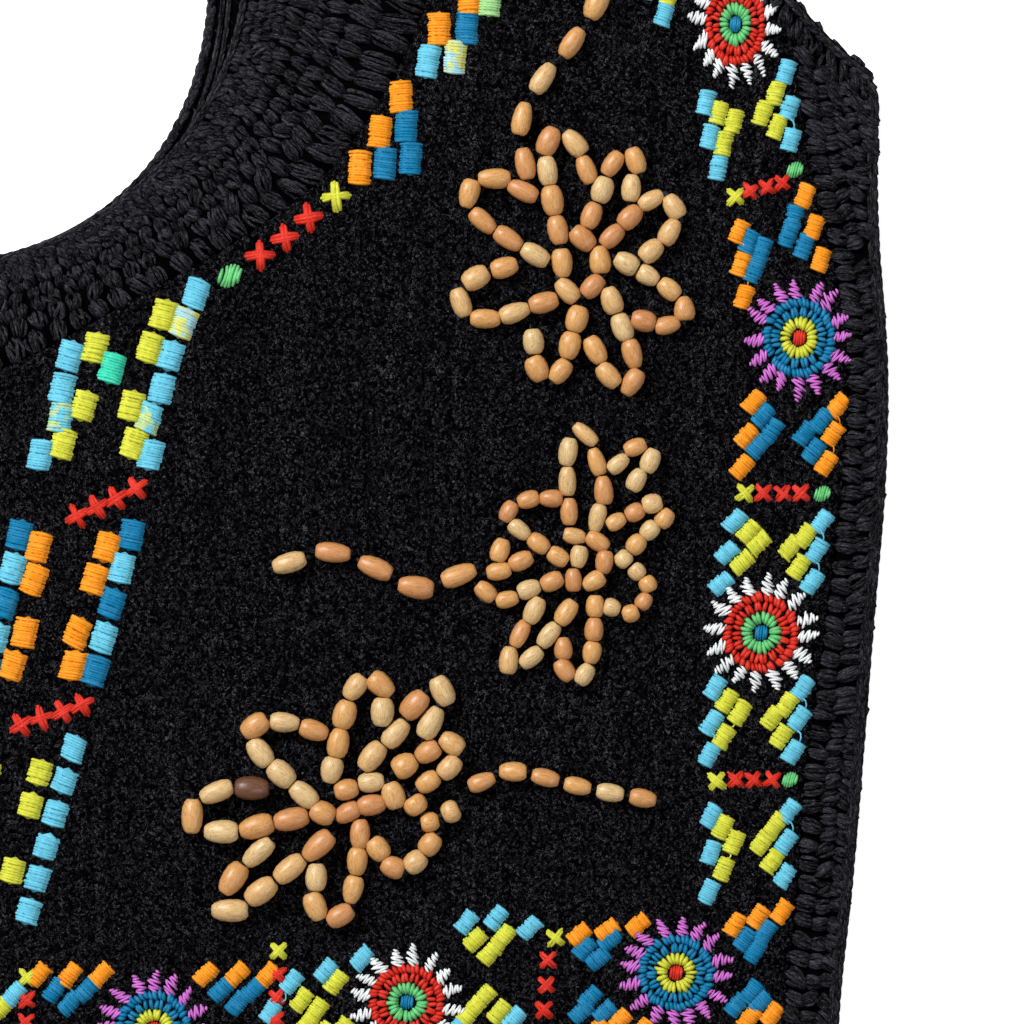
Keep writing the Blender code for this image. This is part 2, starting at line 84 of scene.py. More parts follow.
SIDE_ROWS = [
    (44.2, 238.0, UNDERARM_INNER_X), (15.2, 237.2, 220.6), (-4.2, 237.6, 225.0),
    (-23.6, 239.0, 228.6), (-43.0, 239.7, 229.6), (-67.3, 238.8, 227.9),
    (-91.5, 236.8, 224.9), (-115.8, 234.9, 221.8), (-140.0, 233.0, 218.8),
    (-164.2, 230.8, 217.2), (-188.5, 228.2, 214.5), (-216.0, 226.6, 213.2),
]
YOKE_ROWS = [
    (0.0, -42.0), (26.0, -35.0), (54.5, -20.0), (86.1, -1.8), (104.2, 12.7),
    (120.0, 35.8), (130.0, 62.0), (135.0, 100.0), (135.0, 160.0),
]
YOKE_AT_SHOULDER = 133.0


# %% Curves between the points
def ease(t):
    return t * t * (3.0 - 2.0 * t)


def mirrored(points):
    return [(-x, y) for x, y in points]


def both_sides(points):
    """A curve that starts on the centre line, carried over to the other side."""
    return mirrored(points[:0:-1]) + list(points)


def smooth_curve(rows, steps):
    """A curve through the rows, with this many steps between each two."""
    points = []
    for i in range(len(rows) - 1):
        before = Vector(rows[max(i - 1, 0)])
        start = Vector(rows[i])
        end = Vector(rows[i + 1])
        after = Vector(rows[min(i + 2, len(rows) - 1)])
        for k in range(steps):
            t = k / steps
            bend = (2.0 * start + (end - before) * t
                    + (2.0 * before - 5.0 * start + 4.0 * end - after) * t * t
                    + (3.0 * start - before - 3.0 * end + after) * t ** 3)
            points.append(tuple(bend / 2.0))
    points.append(tuple(rows[-1]))
    return points


def evenly(points, count):
    """The same curve as this many points, the same distance apart along it."""
    points = np.asarray(points, dtype=float)
    run = np.concatenate([[0.0], np.cumsum(np.linalg.norm(np.diff(points, axis=0), axis=1))])
    places = np.linspace(0.0, run[-1], count)
    return np.stack([np.interp(places, run, points[:, 0]), np.interp(places, run, points[:, 1])], 1)


def shoulder_y(x, below=0.0):
    slope = SHOULDER_DROP / (SHOULDER_TIP - NECK_AT_SHOULDER)
    return HALF_LENGTH - slope * (x - NECK_AT_SHOULDER) - below


def rise_to_shoulder(start, end_x, count):
    end_y = shoulder_y(end_x, SHOULDER_JOIN)
    points = []
    for i in range(1, count + 1):
        t = i / count
        points.append((start[0] + (end_x - start[0]) * ease(t), start[1] + (end_y - start[1]) * t))
    return points


def neck_edge(cut):
    """From centre front round the scoop and up to the shoulder."""
    points = []
    for i in range(25):
        angle = math.radians(90.0 * i / 24)
        x = cut["half_width"] * math.sin(angle) ** (2.0 / cut["power"])
        y = NECK_CENTRE_Y - cut["depth"] * math.cos(angle) ** (2.0 / cut["power"])
        points.append((x, y))
    return points + rise_to_shoulder(points[-1], NECK_AT_SHOULDER, 10)


def yoke_edge():
    return smooth_curve(YOKE_ROWS, 4) + rise_to_shoulder(YOKE_ROWS[-1], YOKE_AT_SHOULDER, 3)


def oval_stretch(oval, low_x, high_x, count):
    """Part of an armhole's oval, from one X to another, upwards."""
    centre_x, centre_y = oval["centre"]
    low = math.acos((centre_x - low_x) / oval["half_width"])
    high = math.acos(min((centre_x - high_x) / oval["half_width"], 1.0))
    points = []
    for i in range(count):
        angle = low + (high - low) * i / (count - 1)
        points.append((centre_x - oval["half_width"] * math.cos(angle),
                       centre_y - oval["half_height"] * math.sin(angle)))
    return points


def armhole_edge(oval, low_x, shoulder_x):
    narrow_x = oval["centre"][0] - oval["half_width"]
    points = oval_stretch(oval, low_x, narrow_x, 21)
    return points + rise_to_shoulder(points[-1], shoulder_x, 2)


def hem_y(x, above=0.0):
    return -HALF_LENGTH + HEM_RISE * (x / HEM_CORNER_X) ** HEM_BEND + above


def hem_edge(last_x, above):
    return [(last_x * i / 24, hem_y(last_x * i / 24, above)) for i in range(25)]


def side_edge(column, first_y, last_point):
    """One of the two long edges of the side band, from the underarm down to the hem."""
    rows = [(row[SIDE_COLUMNS.index(column)], row[0]) for row in SIDE_ROWS]
    curve = smooth_curve(rows, 4)
    kept = [p for p in curve if last_point[1] + 1.0 < p[1] < first_y - 1.0]
    above = [p for p in curve if p[1] >= first_y - 1.0]
    first_x = above[-1][0] if above else kept[0][0]
    return [(first_x, first_y)] + kept + [last_point]


# %% [markdown]
# ## Creases in the cloth
# A knit that has been folded and laid out keeps low, soft ridges: drag lines from the underarm,
# ripples over the hem and a slight rise where embroidery draws it together. Cloth simulation
# could make them, but the vest lies flat, so one function gives the height of the cloth at any
# place. The knit, the threads and the beads all stand on it.

# %% Soft ridges: where each lies, which way it runs, how long, wide and high it is
# Each crease: x, y, angle, length, width, rise.
CREASES = [
    (182.0, 20.0, -52.0, 62.0, 8.0, 0.75), (150.0, -52.0, -28.0, 48.0, 9.0, 0.5),
    (96.0, -92.0, 68.0, 66.0, 10.0, 0.7), (62.0, -150.0, 82.0, 40.0, 8.0, 0.8),
    (20.0, -110.0, 95.0, 70.0, 11.0, 0.65), (-32.0, -160.0, 78.0, 44.0, 8.0, 0.75),
    (-74.0, -84.0, 112.0, 72.0, 10.0, 0.6), (-128.0, -120.0, 70.0, 58.0, 9.0, 0.7),
    (-178.0, 26.0, 236.0, 64.0, 8.0, 0.8), (-196.0, -70.0, 85.0, 60.0, 9.0, 0.5),
    (152.0, 165.0, 84.0, 40.0, 9.0, 0.5), (-153.0, 150.0, 96.0, 46.0, 9.0, 0.55),
    (140.0, -170.0, 100.0, 26.0, 8.0, 0.5), (-150.0, -182.0, 80.0, 26.0, 8.0, 0.5),
]


def crease_height(x, y):
    """How far the cloth is raised, in millimetres; x and y are arrays."""
    height = 0.16 + 0.10 * np.sin(x / 23.0 + 1.3 * np.sin(y / 41.0)) * np.cos(y / 31.0 + x / 67.0)
    for cx, cy, angle, length, width, rise in CREASES:
        turn = math.radians(angle)
        along = (x - cx) * math.cos(turn) + (y - cy) * math.sin(turn)
        across = -(x - cx) * math.sin(turn) + (y - cy) * math.cos(turn)
        across = across + 3.0 * np.sin(along / 19.0)
        uneven = 0.75 + 0.25 * np.sin(along / 11.0 + cx)
        height = height + rise * uneven * np.exp(-(across / width) ** 2 - (along / length) ** 4)
    return height


print("highest crease: %.2f mm" % crease_height(*np.meshgrid(np.arange(-230, 231, 5.0),
                                                             np.arange(-230, 231, 5.0))).max())

# %% [markdown]
# ## Mesh helpers
# Yarn and thread are the main forms here: thousands of short, slightly twisted tubes. Curve
# objects would be slow in such numbers, so numpy lays out all the rings of many tubes at once
# and joins them as one mesh. Each point keeps its place along and across its yarn in millimetres,
# which the materials use for fibre and ply.


# %% Many yarns as one mesh
def unit(vectors):
    return vectors / np.maximum(np.linalg.norm(vectors, axis=-1, keepdims=True), 1e-9)


def across_of(a, b):
    """The level direction square to each line from a to b, as long as the line."""
    return np.stack([-(b - a)[:, 1], (b - a)[:, 0]], 1)


def between(a, b, share):
    """Points at the same shares of the way along many lines."""
    return a[:, None, :] + (b - a)[:, None, :] * share[None, :, None]


def raised(flat, height):
    return np.concatenate([flat, height[..., None]], axis=-1)


def ring_quads(rings, sides):
    i, j = np.meshgrid(np.arange(rings - 1), np.arange(sides), indexing="ij")
    k = (j + 1) % sides
    return np.stack([i * sides + j, i * sides + k, (i + 1) * sides + k, (i + 1) * sides + j], 2)


def tube_faces(count, rings, sides):
    """Quads and end triangles of many tubes; each tube's last two points are its ends."""
    each = rings * sides + 2
    base = (np.arange(count) * each)[:, None, None]
    j = np.arange(sides)
    k = (j + 1) % sides
    top = (rings - 1) * sides
    cap = np.concatenate([np.stack([np.full(sides, rings * sides), k, j], 1),
                          np.stack([np.full(sides, rings * sides + 1), top + j, top + k], 1)])
    quads = (base + ring_quads(rings, sides).reshape(1, -1, 4)).reshape(-1, 4)
    return quads, (base + cap[None]).reshape(-1, 3)


def strands(middle, wide, tall, sides=6, lobe=0.0, twist=0.0):
    """Closed tubes round many paths at once.

    middle is (count, rings, 3); wide and tall are half sizes, (count, rings). lobe raises every
    other side, as plies do, and twist turns them, in radians a millimetre.
    """
    count, rings, _ = middle.shape
    tangent = unit(np.gradient(middle, axis=1))
    flat = np.array([1.0, 1.0, 0.0])
    chord = unit((middle[:, -1] - middle[:, 0]) * flat)
    level = unit(tangent * flat + 0.3 * chord[:, None, :])
    side = np.stack([-level[..., 1], level[..., 0], np.zeros((count, rings))], axis=2)
    up = np.cross(tangent, side)
    step = np.linalg.norm(np.diff(middle, axis=1), axis=2)
    along = np.concatenate([np.zeros((count, 1)), np.cumsum(step, axis=1)], axis=1)
    turn = 2.0 * np.pi * np.arange(sides) / sides - np.pi / 2.0 + twist * along[..., None]
    swell = 1.0 + lobe * (1.0 - 2.0 * (np.arange(sides) % 2))
    ring = (middle[:, :, None, :]
            + side[:, :, None, :] * (wide[..., None] * np.cos(turn) * swell)[..., None]
            + up[:, :, None, :] * (tall[..., None] * np.sin(turn) * swell)[..., None])
    first = middle[:, :1] - tangent[:, :1] * (0.5 * wide[:, :1, None])
    last = middle[:, -1:] + tangent[:, -1:] * (0.5 * wide[:, -1:, None])
    points = np.concatenate([ring.reshape(count, rings * sides, 3), first, last], axis=1)
    quads, tris = tube_faces(count, rings, sides)
    each = points.shape[1]
    tone = np.repeat(dice.random(count), each)
    place = np.zeros((count, each, 3))
    place[:, :-2, 0] = np.repeat(along, sides, axis=1)
    place[:, -1, 0] = along[:, -1]
    place[:, :-2, 1] = (wide[..., None] * np.cos(turn)).reshape(count, -1)
    place[:, :, 2] = dice.random((count, 1)) * 50.0
    return {"points": points.reshape(-1, 3), "quads": quads, "tris": tris,
            "thread": place.reshape(-1, 3), "tone": tone}


def joined(batches):
    """Several sets of yarns as one."""
    shifts = np.cumsum([0] + [len(batch["points"]) for batch in batches[:-1]])
    whole = {key: np.concatenate([b[key] for b in batches]) for key in ("points", "thread", "tone")}
    for key in ("quads", "tris"):
        whole[key] = np.concatenate([b[key] + shift for b, shift in zip(batches, shifts)])
    return whole


made = {}


def make_piece(name, batches, material, nodes=()):
    """One object from its yarns, in metres, riding on the vest."""
    whole = joined(batches)
    mesh = bpy.data.meshes.new(name)
    quads = whole["quads"]
    tris = whole["tris"]
    corners = np.concatenate([quads.ravel(), tris.ravel()]).astype(np.int32)
    starts = np.concatenate([4 * np.arange(len(quads)), 4 * len(quads) + 3 * np.arange(len(tris))])
    mesh.vertices.add(len(whole["points"]))
    mesh.vertices.foreach_set("co", (whole["points"] * MM).astype(np.float32).ravel())
    mesh.loops.add(len(corners))
    mesh.loops.foreach_set("vertex_index", corners)
    mesh.polygons.add(len(starts))
    mesh.polygons.foreach_set("loop_start", starts.astype(np.int32))
    mesh.polygons.foreach_set("use_smooth", np.ones(len(starts), dtype=bool))
    mesh.update(calc_edges=True)
    mesh.validate()
    for key, kind, field in (("thread", "FLOAT_VECTOR", "vector"), ("tone", "FLOAT", "value")):
        layer = mesh.attributes.new(key, kind, "POINT")
        layer.data.foreach_set(field, whole[key].astype(np.float32).ravel())
    mesh.materials.append(material)
    piece = bpy.data.objects.new(name, mesh)
    bpy.context.collection.objects.link(piece)
    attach(piece, "root")
    if nodes:
        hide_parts(*nodes)
    made[name] = 2 * len(quads) + len(tris)
    print("%s: %d triangles" % (name, made[name]))
    return piece


# %% [markdown]
# ## Materials
# Each finish starts from what the real one is. One function turns sRGB hex values to the linear
# numbers that a shader takes, and one adds a node with its settings and links.


# %% Colour and node helpers
def linear(hex_colour):
    channels = [int(hex_colour[i:i + 2], 16) / 255.0 for i in (1, 3, 5)]
    return (*[c / 12.92 if c <= 0.04045 else ((c + 0.055) / 1.055) ** 2.4 for c in channels], 1.0)


def node(tree, kind, inputs=None, **settings):
    """A node with its settings; an input takes a value, an output, or a node for its result."""
    item = tree.nodes.new("ShaderNode" + kind)
    for key, value in settings.items():
        setattr(item, key, value)
    for key, value in (inputs or {}).items():
        if isinstance(value, bpy.types.Node):
            value = value.outputs[2 if value.type == "MIX" else 0]
        if isinstance(value, bpy.types.NodeSocket):
            tree.links.new(value, item.inputs[key])
        else:
            item.inputs[key].default_value = value
    return item


def start_material(name):
    """A new material, its nodes, and each point's place in millimetres."""
    material = bpy.data.materials.new(name)
    material.use_nodes = True
    tree = material.node_tree
    place = node(tree, "TexCoord").outputs["Object"]
    return material, tree, node(tree, "VectorMath", {0: place, "Scale": 1000.0}, operation="SCALE")


def yarn_place(tree):
    """Each point's place along and across its yarn, and its yarn's own tone; on a backing strip the tone
    is painted shade.
    """
    thread = node(tree, "Attribute", attribute_name="thread").outputs["Vector"]
    return thread, node(tree, "Attribute", attribute_name="tone").outputs["Fac"]


def finish_material(material, tint, height, relief, depth_mm, roughness, specular):
    tree = material.node_tree
    shader = tree.nodes["Principled BSDF"]
    bump = node(tree, "Bump", {"Strength": relief, "Distance": depth_mm * MM, "Height": height})
    tree.links.new(tint.outputs[2], shader.inputs["Base Color"])
    tree.links.new(bump.outputs[0], shader.inputs["Normal"])
    shader.inputs["Roughness"].default_value = roughness
    shader.inputs["Specular IOR Level"].default_value = specular
    return material


# %% [markdown]
# ### Fine black knit
# A machine-knitted jersey of black cotton with a little fuzz. Its stitches lie in columns 0.6 mm
# apart. From above it reads as many short, curling pale strokes on black, some bright and most
# dim, with faint upright lines where a column is looser. Contour lines of a fine noise make the
# strokes, and the cells of a Voronoi pattern, a little taller than wide, give each its brightness.

# %% Knit
WALE_MM = 0.6
COURSE_MM = 0.7
LOOSE_COLUMN_MM = 9.0


def black_knit():
    material, tree, mm = start_material("black_cotton_jersey")
    cells = node(tree, "VectorMath", {0: mm, 1: (1.0 / WALE_MM, 1.0 / COURSE_MM, 0.0)},
                 operation="MULTIPLY")
    loops = node(tree, "TexVoronoi", {"Vector": cells, "Scale": 1.0, "Randomness": 0.9},
                 voronoi_dimensions="2D")
    own = node(tree, "SeparateColor", {0: loops.outputs["Color"]})
    brightness = node(tree, "Math", {0: own, 1: 1.8}, operation="POWER")
    curl = node(tree, "TexNoise", {"Vector": mm, "Scale": 0.95, "Detail": 1.0, "Distortion": 0.6})
    turned = node(tree, "Math", {0: curl, 1: 34.0}, operation="MULTIPLY")
    wave = node(tree, "Math", {0: turned}, operation="SINE")
    stroke = node(tree, "MapRange", {"Value": wave, "From Min": -0.5, "From Max": 1.0})
    lit = node(tree, "Math", {0: stroke, 1: brightness}, operation="MULTIPLY")
    fuzz = node(tree, "TexNoise", {"Vector": mm, "Scale": 1.9, "Detail": 3.0, "Roughness": 0.6})
    hairs = node(tree, "MapRange", {"Value": fuzz, "From Min": 0.35, "From Max": 0.68, "To Min": 0.3,
                                    "To Max": 1.25})
    mottled = node(tree, "Math", {0: lit, 1: hairs}, operation="MULTIPLY")
    upright = node(tree, "VectorMath", {0: mm, 1: (4.0 / LOOSE_COLUMN_MM, 0.012, 0.0)},
                   operation="MULTIPLY")
    column = node(tree, "TexNoise", {"Vector": upright, "Scale": 1.0, "Detail": 1.0})
    looser = node(tree, "MapRange", {"Value": column, "From Min": 0.35, "From Max": 0.75,
                                     "To Min": 0.75, "To Max": 1.5})
    amount = node(tree, "Math", {0: mottled, 1: looser}, operation="MULTIPLY")
    tint = node(tree, "Mix", {0: amount, 6: linear("#020203"), 7: linear("#454449")},
                data_type="RGBA")
    relief = node(tree, "Math", {0: stroke, 1: fuzz}, operation="MULTIPLY")
    return finish_material(material, tint, relief, 0.9, 0.4, 0.95, 0.0)


JERSEY = black_knit()
print("knit: columns %.2f mm, rows %.2f mm" % (WALE_MM, COURSE_MM))

# %% [markdown]
# ### Thick black crochet yarn
# The edgings are hooked in a soft, several-ply yarn, charcoal where the light catches its fibres
# and black between them. The fibres are drawn from each point's place across and along its yarn.
# The backing strip under the stitches is clamped to the darkest black, as painted shade between them.


# %% Crochet yarn
def crochet_yarn():
    material, tree, mm = start_material("black_crochet_yarn")
    thread, tone = yarn_place(tree)
    drawn = node(tree, "VectorMath", {0: thread, 1: (0.8, 4.2, 1.0)}, operation="MULTIPLY")
    fibre = node(tree, "TexNoise", {"Vector": drawn, "Scale": 1.0, "Detail": 2.0, "Roughness": 0.6,
                                    "Distortion": 0.7})
    ply = node(tree, "MapRange", {"Value": fibre, "From Min": 0.4, "From Max": 0.64})
    fuzz = node(tree, "TexNoise", {"Vector": mm, "Scale": 1.9, "Detail": 4.0, "Roughness": 0.7})
    soft = node(tree, "MapRange", {"Value": fuzz, "From Min": 0.34, "From Max": 0.68, "To Min": 0.1})
    mixed = node(tree, "Math", {0: ply, 1: soft}, operation="MULTIPLY")
    # A backing's very low tone clamps this to nought: painted shade in the gaps between stitches.
    lift = node(tree, "Math", {0: tone, 1: 0.25, 2: mixed}, operation="MULTIPLY_ADD", use_clamp=True)
    deep = node(tree, "Math", {0: lift, 1: 1.6}, operation="POWER")
    tint = node(tree, "Mix", {0: deep, 6: linear("#040404"), 7: linear("#62626B")}, data_type="RGBA")
    return finish_material(material, tint, mixed, 0.9, 0.4, 0.8, 0.0)


YARN = crochet_yarn()
print("crochet yarn made")

# %% [markdown]
# ### Stranded cotton
# Mercerised embroidery cotton has a soft shine along each thread. The colour of each thread
# differs a little from the next, and fine lines slant across it where its strands are twisted.

# %% Thread colours
THREAD_COLOURS = {
    "orange": "#E88E16", "deep_blue": "#05719C", "light_blue": "#60B6CE", "yellow": "#C4C63A",
    "red": "#C82A1A", "green": "#62BA72", "white": "#DEE2E2", "purple": "#C169C0",
    "turquoise": "#36C4A4", "sea_green": "#96C884",
}
SPACE_DYED = {"pale_mix": ("#A0CCD6", "#D2D04A"), "blue_mix": ("#66BFD6", "#BCCC82")}


def stranded_cotton(name, colour, second=None):
    material, tree, mm = start_material("cotton_" + name)
    thread, tone = yarn_place(tree)
    parts = node(tree, "SeparateXYZ", {0: thread})
    around = node(tree, "Math", {0: parts.outputs["Y"], 1: 6.0 * math.pi}, operation="MULTIPLY")
    slant = node(tree, "Math", {0: parts.outputs["X"], 1: 5.0, 2: around}, operation="MULTIPLY_ADD")
    wave = node(tree, "Math", {0: slant}, operation="SINE")
    shade = node(tree, "TexNoise", {"Vector": mm, "Scale": 0.7, "Detail": 2.0})
    base = linear(colour)
    dark = (*[c * 0.66 for c in base[:3]], 1.0)
    pale = (*[min(c * 1.12 + 0.02, 1.0) for c in base[:3]], 1.0)
    if second:
        swap = node(tree, "TexNoise", {"Vector": mm, "Scale": 0.32})
        share = node(tree, "MapRange", {"Value": swap, "From Min": 0.45, "From Max": 0.56})
        light = node(tree, "Mix", {0: share, 6: base, 7: linear(second)}, data_type="RGBA")
    else:
        light = node(tree, "Mix", {0: tone, 6: base, 7: pale}, data_type="RGBA")
    amount = node(tree, "MapRange", {"Value": shade, "From Min": 0.62, "From Max": 0.3,
                                     "To Max": 0.55})
    tint = node(tree, "Mix", {0: amount, 6: light, 7: dark}, data_type="RGBA")
    return finish_material(material, tint, wave, 0.25, 0.1, 0.5, 0.12)


COTTON = {name: stranded_cotton(name, colour) for name, colour in THREAD_COLOURS.items()}
COTTON.update({name: stranded_cotton(name, *pair) for name, pair in SPACE_DYED.items()})
print("cottons:", ", ".join(COTTON))

# %% [markdown]
# ### Turned wood
# The beads are small turned ovals of light, unpolished wood, each from its own piece: pale
# straw, honey, and a few pinkish ones. Grain lines follow the bead's length and fine pits
# speckle it. Unvarnished wood is dull, with only a soft sheen.

# %% Wood
WOOD_TONES = ("#CDB07C", "#CC9859", "#BD8150", "#4E342A")


def turned_wood():
    material, tree, _ = start_material("turned_bead_wood")
    thread, tone = yarn_place(tree)
    honey = node(tree, "MapRange", {"Value": tone, "From Min": 0.15, "From Max": 0.45})
    pink = node(tree, "MapRange", {"Value": tone, "From Min": 0.55, "From Max": 1.0})
    brown = node(tree, "Math", {0: tone, 1: 1.5}, operation="GREATER_THAN")
    body = linear(WOOD_TONES[0])
    for share, colour in zip((honey, pink, brown), WOOD_TONES[1:]):
        body = node(tree, "Mix", {0: share, 6: body, 7: linear(colour)}, data_type="RGBA")
    stretched = node(tree, "VectorMath", {0: thread, 1: (0.5, 4.2, 4.2)}, operation="MULTIPLY")
    grain = node(tree, "TexNoise", {"Vector": stretched, "Scale": 1.0, "Detail": 4.0,
                                    "Roughness": 0.6})
    lines = node(tree, "MapRange", {"Value": grain, "From Min": 0.42, "From Max": 0.68,
                                    "To Max": 0.6})
    darker = node(tree, "Mix", {0: lines, 6: body, 7: linear("#8C5528")}, data_type="RGBA")
    pit = node(tree, "TexVoronoi", {"Vector": thread, "Scale": 1.1})
    speck = node(tree, "MapRange", {"Value": pit.outputs["Distance"], "From Min": 0.2,
                                    "From Max": 0.08, "To Max": 0.6})
    tint = node(tree, "Mix", {0: speck, 6: darker, 7: linear("#5A3A20")}, data_type="RGBA")
    height = node(tree, "Math", {0: grain, 1: speck}, operation="SUBTRACT")
    return finish_material(material, tint, height, 0.35, 0.12, 0.4, 0.5)


WOOD = turned_wood()
print("wood made")

# %% [markdown]
# ## The knitted panels
# Front and back are thin cloths of the same cut. Each is a closed shell 1.8 mm thick: a fine
# triangle mesh inside the outline, raised by the creases, with the same mesh below it. The back
# lies on the table, so its underside is flat but for shallow troughs.


# %% Outline of a panel
def knit_outline():
    """The edge of a knitted panel, anticlockwise from centre front at the hem."""
    hem = evenly(hem_edge(HEM_INNER_CORNER_X, HEM_BAND), 60)
    arm = evenly(armhole_edge(ARMHOLE_BAND, UNDERARM_INNER_X, ARMHOLE_BAND_TIP), 60)
    side = evenly(side_edge("inner_x", arm[0][1], tuple(hem[-1])), 70)[::-1]
    yoke = evenly(yoke_edge(), 90)[::-1]
    half = np.concatenate([hem, side[1:-1], arm, yoke])
    other = half[-2:0:-1] * np.array([-1.0, 1.0])
    return np.concatenate([half, other])


OUTLINE = knit_outline()


def inside(points, margin=0.0):
    """Which points lie inside the outline, and at least this far from it."""
    a = OUTLINE
    b = np.roll(OUTLINE, -1, axis=0)
    result = []
    for x, y in np.atleast_2d(points):
        crossing = (a[:, 1] > y) != (b[:, 1] > y)
        rise = np.where(np.abs(b[:, 1] - a[:, 1]) < 1e-12, 1e-12, b[:, 1] - a[:, 1])
        hit = x < (b[:, 0] - a[:, 0]) * (y - a[:, 1]) / rise + a[:, 0]
        near = np.hypot(a[:, 0] - x, a[:, 1] - y).min()
        result.append(bool(np.count_nonzero(crossing & hit) % 2) and near >= margin)
    return np.array(result)


ROW_SPACING = 0.87


def cloth_shell(name, spacing, low, high, nodes):
    """A thin cloth with a fine mesh; low and high give its two faces' heights."""
    xs = np.arange(-HALF_LENGTH, HALF_LENGTH + 0.1, spacing)
    ys = np.arange(-HALF_LENGTH, HALF_LENGTH + 0.1, spacing * ROW_SPACING)
    grid = np.array([(x + (0.5 * spacing if k % 2 else 0.0), y) for k, y in enumerate(ys) for x in xs])
    filling = grid[inside(grid, 0.55 * spacing)]
    edge = len(OUTLINE)
    flat = [Vector(p) for p in OUTLINE] + [Vector(p) for p in filling]
    found, _, faces, _, _, owner = delaunay_2d_cdt(flat, [], [list(range(edge))], 1, 1e-5, True)
    kept = np.array([face for face, names in zip(faces, owner) if list(names) == [0]])
    points = np.array([(p.x, p.y) for p in found])
    top = np.column_stack([points, high(points[:, 0], points[:, 1])])
    under = np.column_stack([points, low(points[:, 0], points[:, 1])])
    count = len(points)
    rim = np.arange(edge)
    turn = (rim + 1) % edge
    walls = np.stack([rim + count, turn + count, turn, rim], 1)
    both = np.concatenate([top, under])
    batch = {"points": both, "quads": walls, "tris": np.concatenate([kept, kept[:, ::-1] + count]),
             "thread": both, "tone": np.full(len(both), 0.5)}
    return make_piece(name, [batch], JERSEY, nodes)


front_knit = cloth_shell("knit_front", 4.3, lambda x, y: FRONT_BASE + crease_height(x, y),
                         lambda x, y: FRONT_TOP + crease_height(x, y), ["front_panel"])
back_knit = cloth_shell("knit_back", 7.0, lambda x, y: 0.3 * crease_height(x, y),
                        lambda x, y: BACK_TOP + 0.0 * x, ["back_panel"])

# %% [markdown]
# ## Crochet
# A crocheted edging grows in rows along an edge: small tight stitches at first, then long posts
# with loops at their tops. Each visible stitch is a short, fat yarn that narrows at both ends
# and arches over the row. A row is laid out between two edge curves, with each stitch's place,
# length and lean a little uneven, as a hand makes them.


# %% Rows of stitches between two edges
EDGE_POINTS = 500


def band_between(inner, outer, rise=0.0):
    """Two edges as points that face each other; rise moves the outer ones up both sides."""
    run = np.linspace(0.0, 1.0, EDGE_POINTS)
    facing = run - rise * np.sin(2.0 * np.pi * run)
    far = evenly(outer, EDGE_POINTS)
    far = np.stack([np.interp(facing, run, far[:, k]) for k in (0, 1)], 1)
    return {"inner": evenly(inner, EDGE_POINTS), "outer": far}


def at(band, run, share, shift=0.0):
    """The point at a share of the way along and across a band, moved shift mm outward."""
    run = np.clip(run, 0.0, 1.0)
    places = np.linspace(0.0, 1.0, len(band["inner"]))
    a = np.stack([np.interp(run, places, band["inner"][:, k]) for k in (0, 1)], -1)
    b = np.stack([np.interp(run, places, band["outer"][:, k]) for k in (0, 1)], -1)
    return a + (b - a) * np.asarray(share)[..., None] + unit(b - a) * np.asarray(shift)[..., None]


def length_at(band, share):
    middle = band["inner"] + (band["outer"] - band["inner"]) * share
    return float(np.linalg.norm(np.diff(middle, axis=0), axis=1).sum())


def lane_of(band, near, far, low=0.0, high=1.0):
    """A lane between two distances from a band's inner edge; far < 0 is from its outer edge."""
    run = np.linspace(low, high, EDGE_POINTS)
    across = 1.0 if far < 0.0 else 0.0
    return {"inner": at(band, run, 0.0 * run, near), "outer": at(band, run, 0.0 * run + across, far)}


END_DROP = 2.0
PLY_OVERLAP = 1.32
# How unevenly a hand works: the spread of each measure, as a share of its size, lift in mm.
LOOSE = {"place": 0.09, "tilt": 0.16, "reach": 0.06, "size": 0.09, "lane_in": 0.1, "lane_out": 0.2,
         "bow": 0.12, "curl": 0.18, "slide": 0.05, "lift": 0.14, "ply_lift": 0.1}


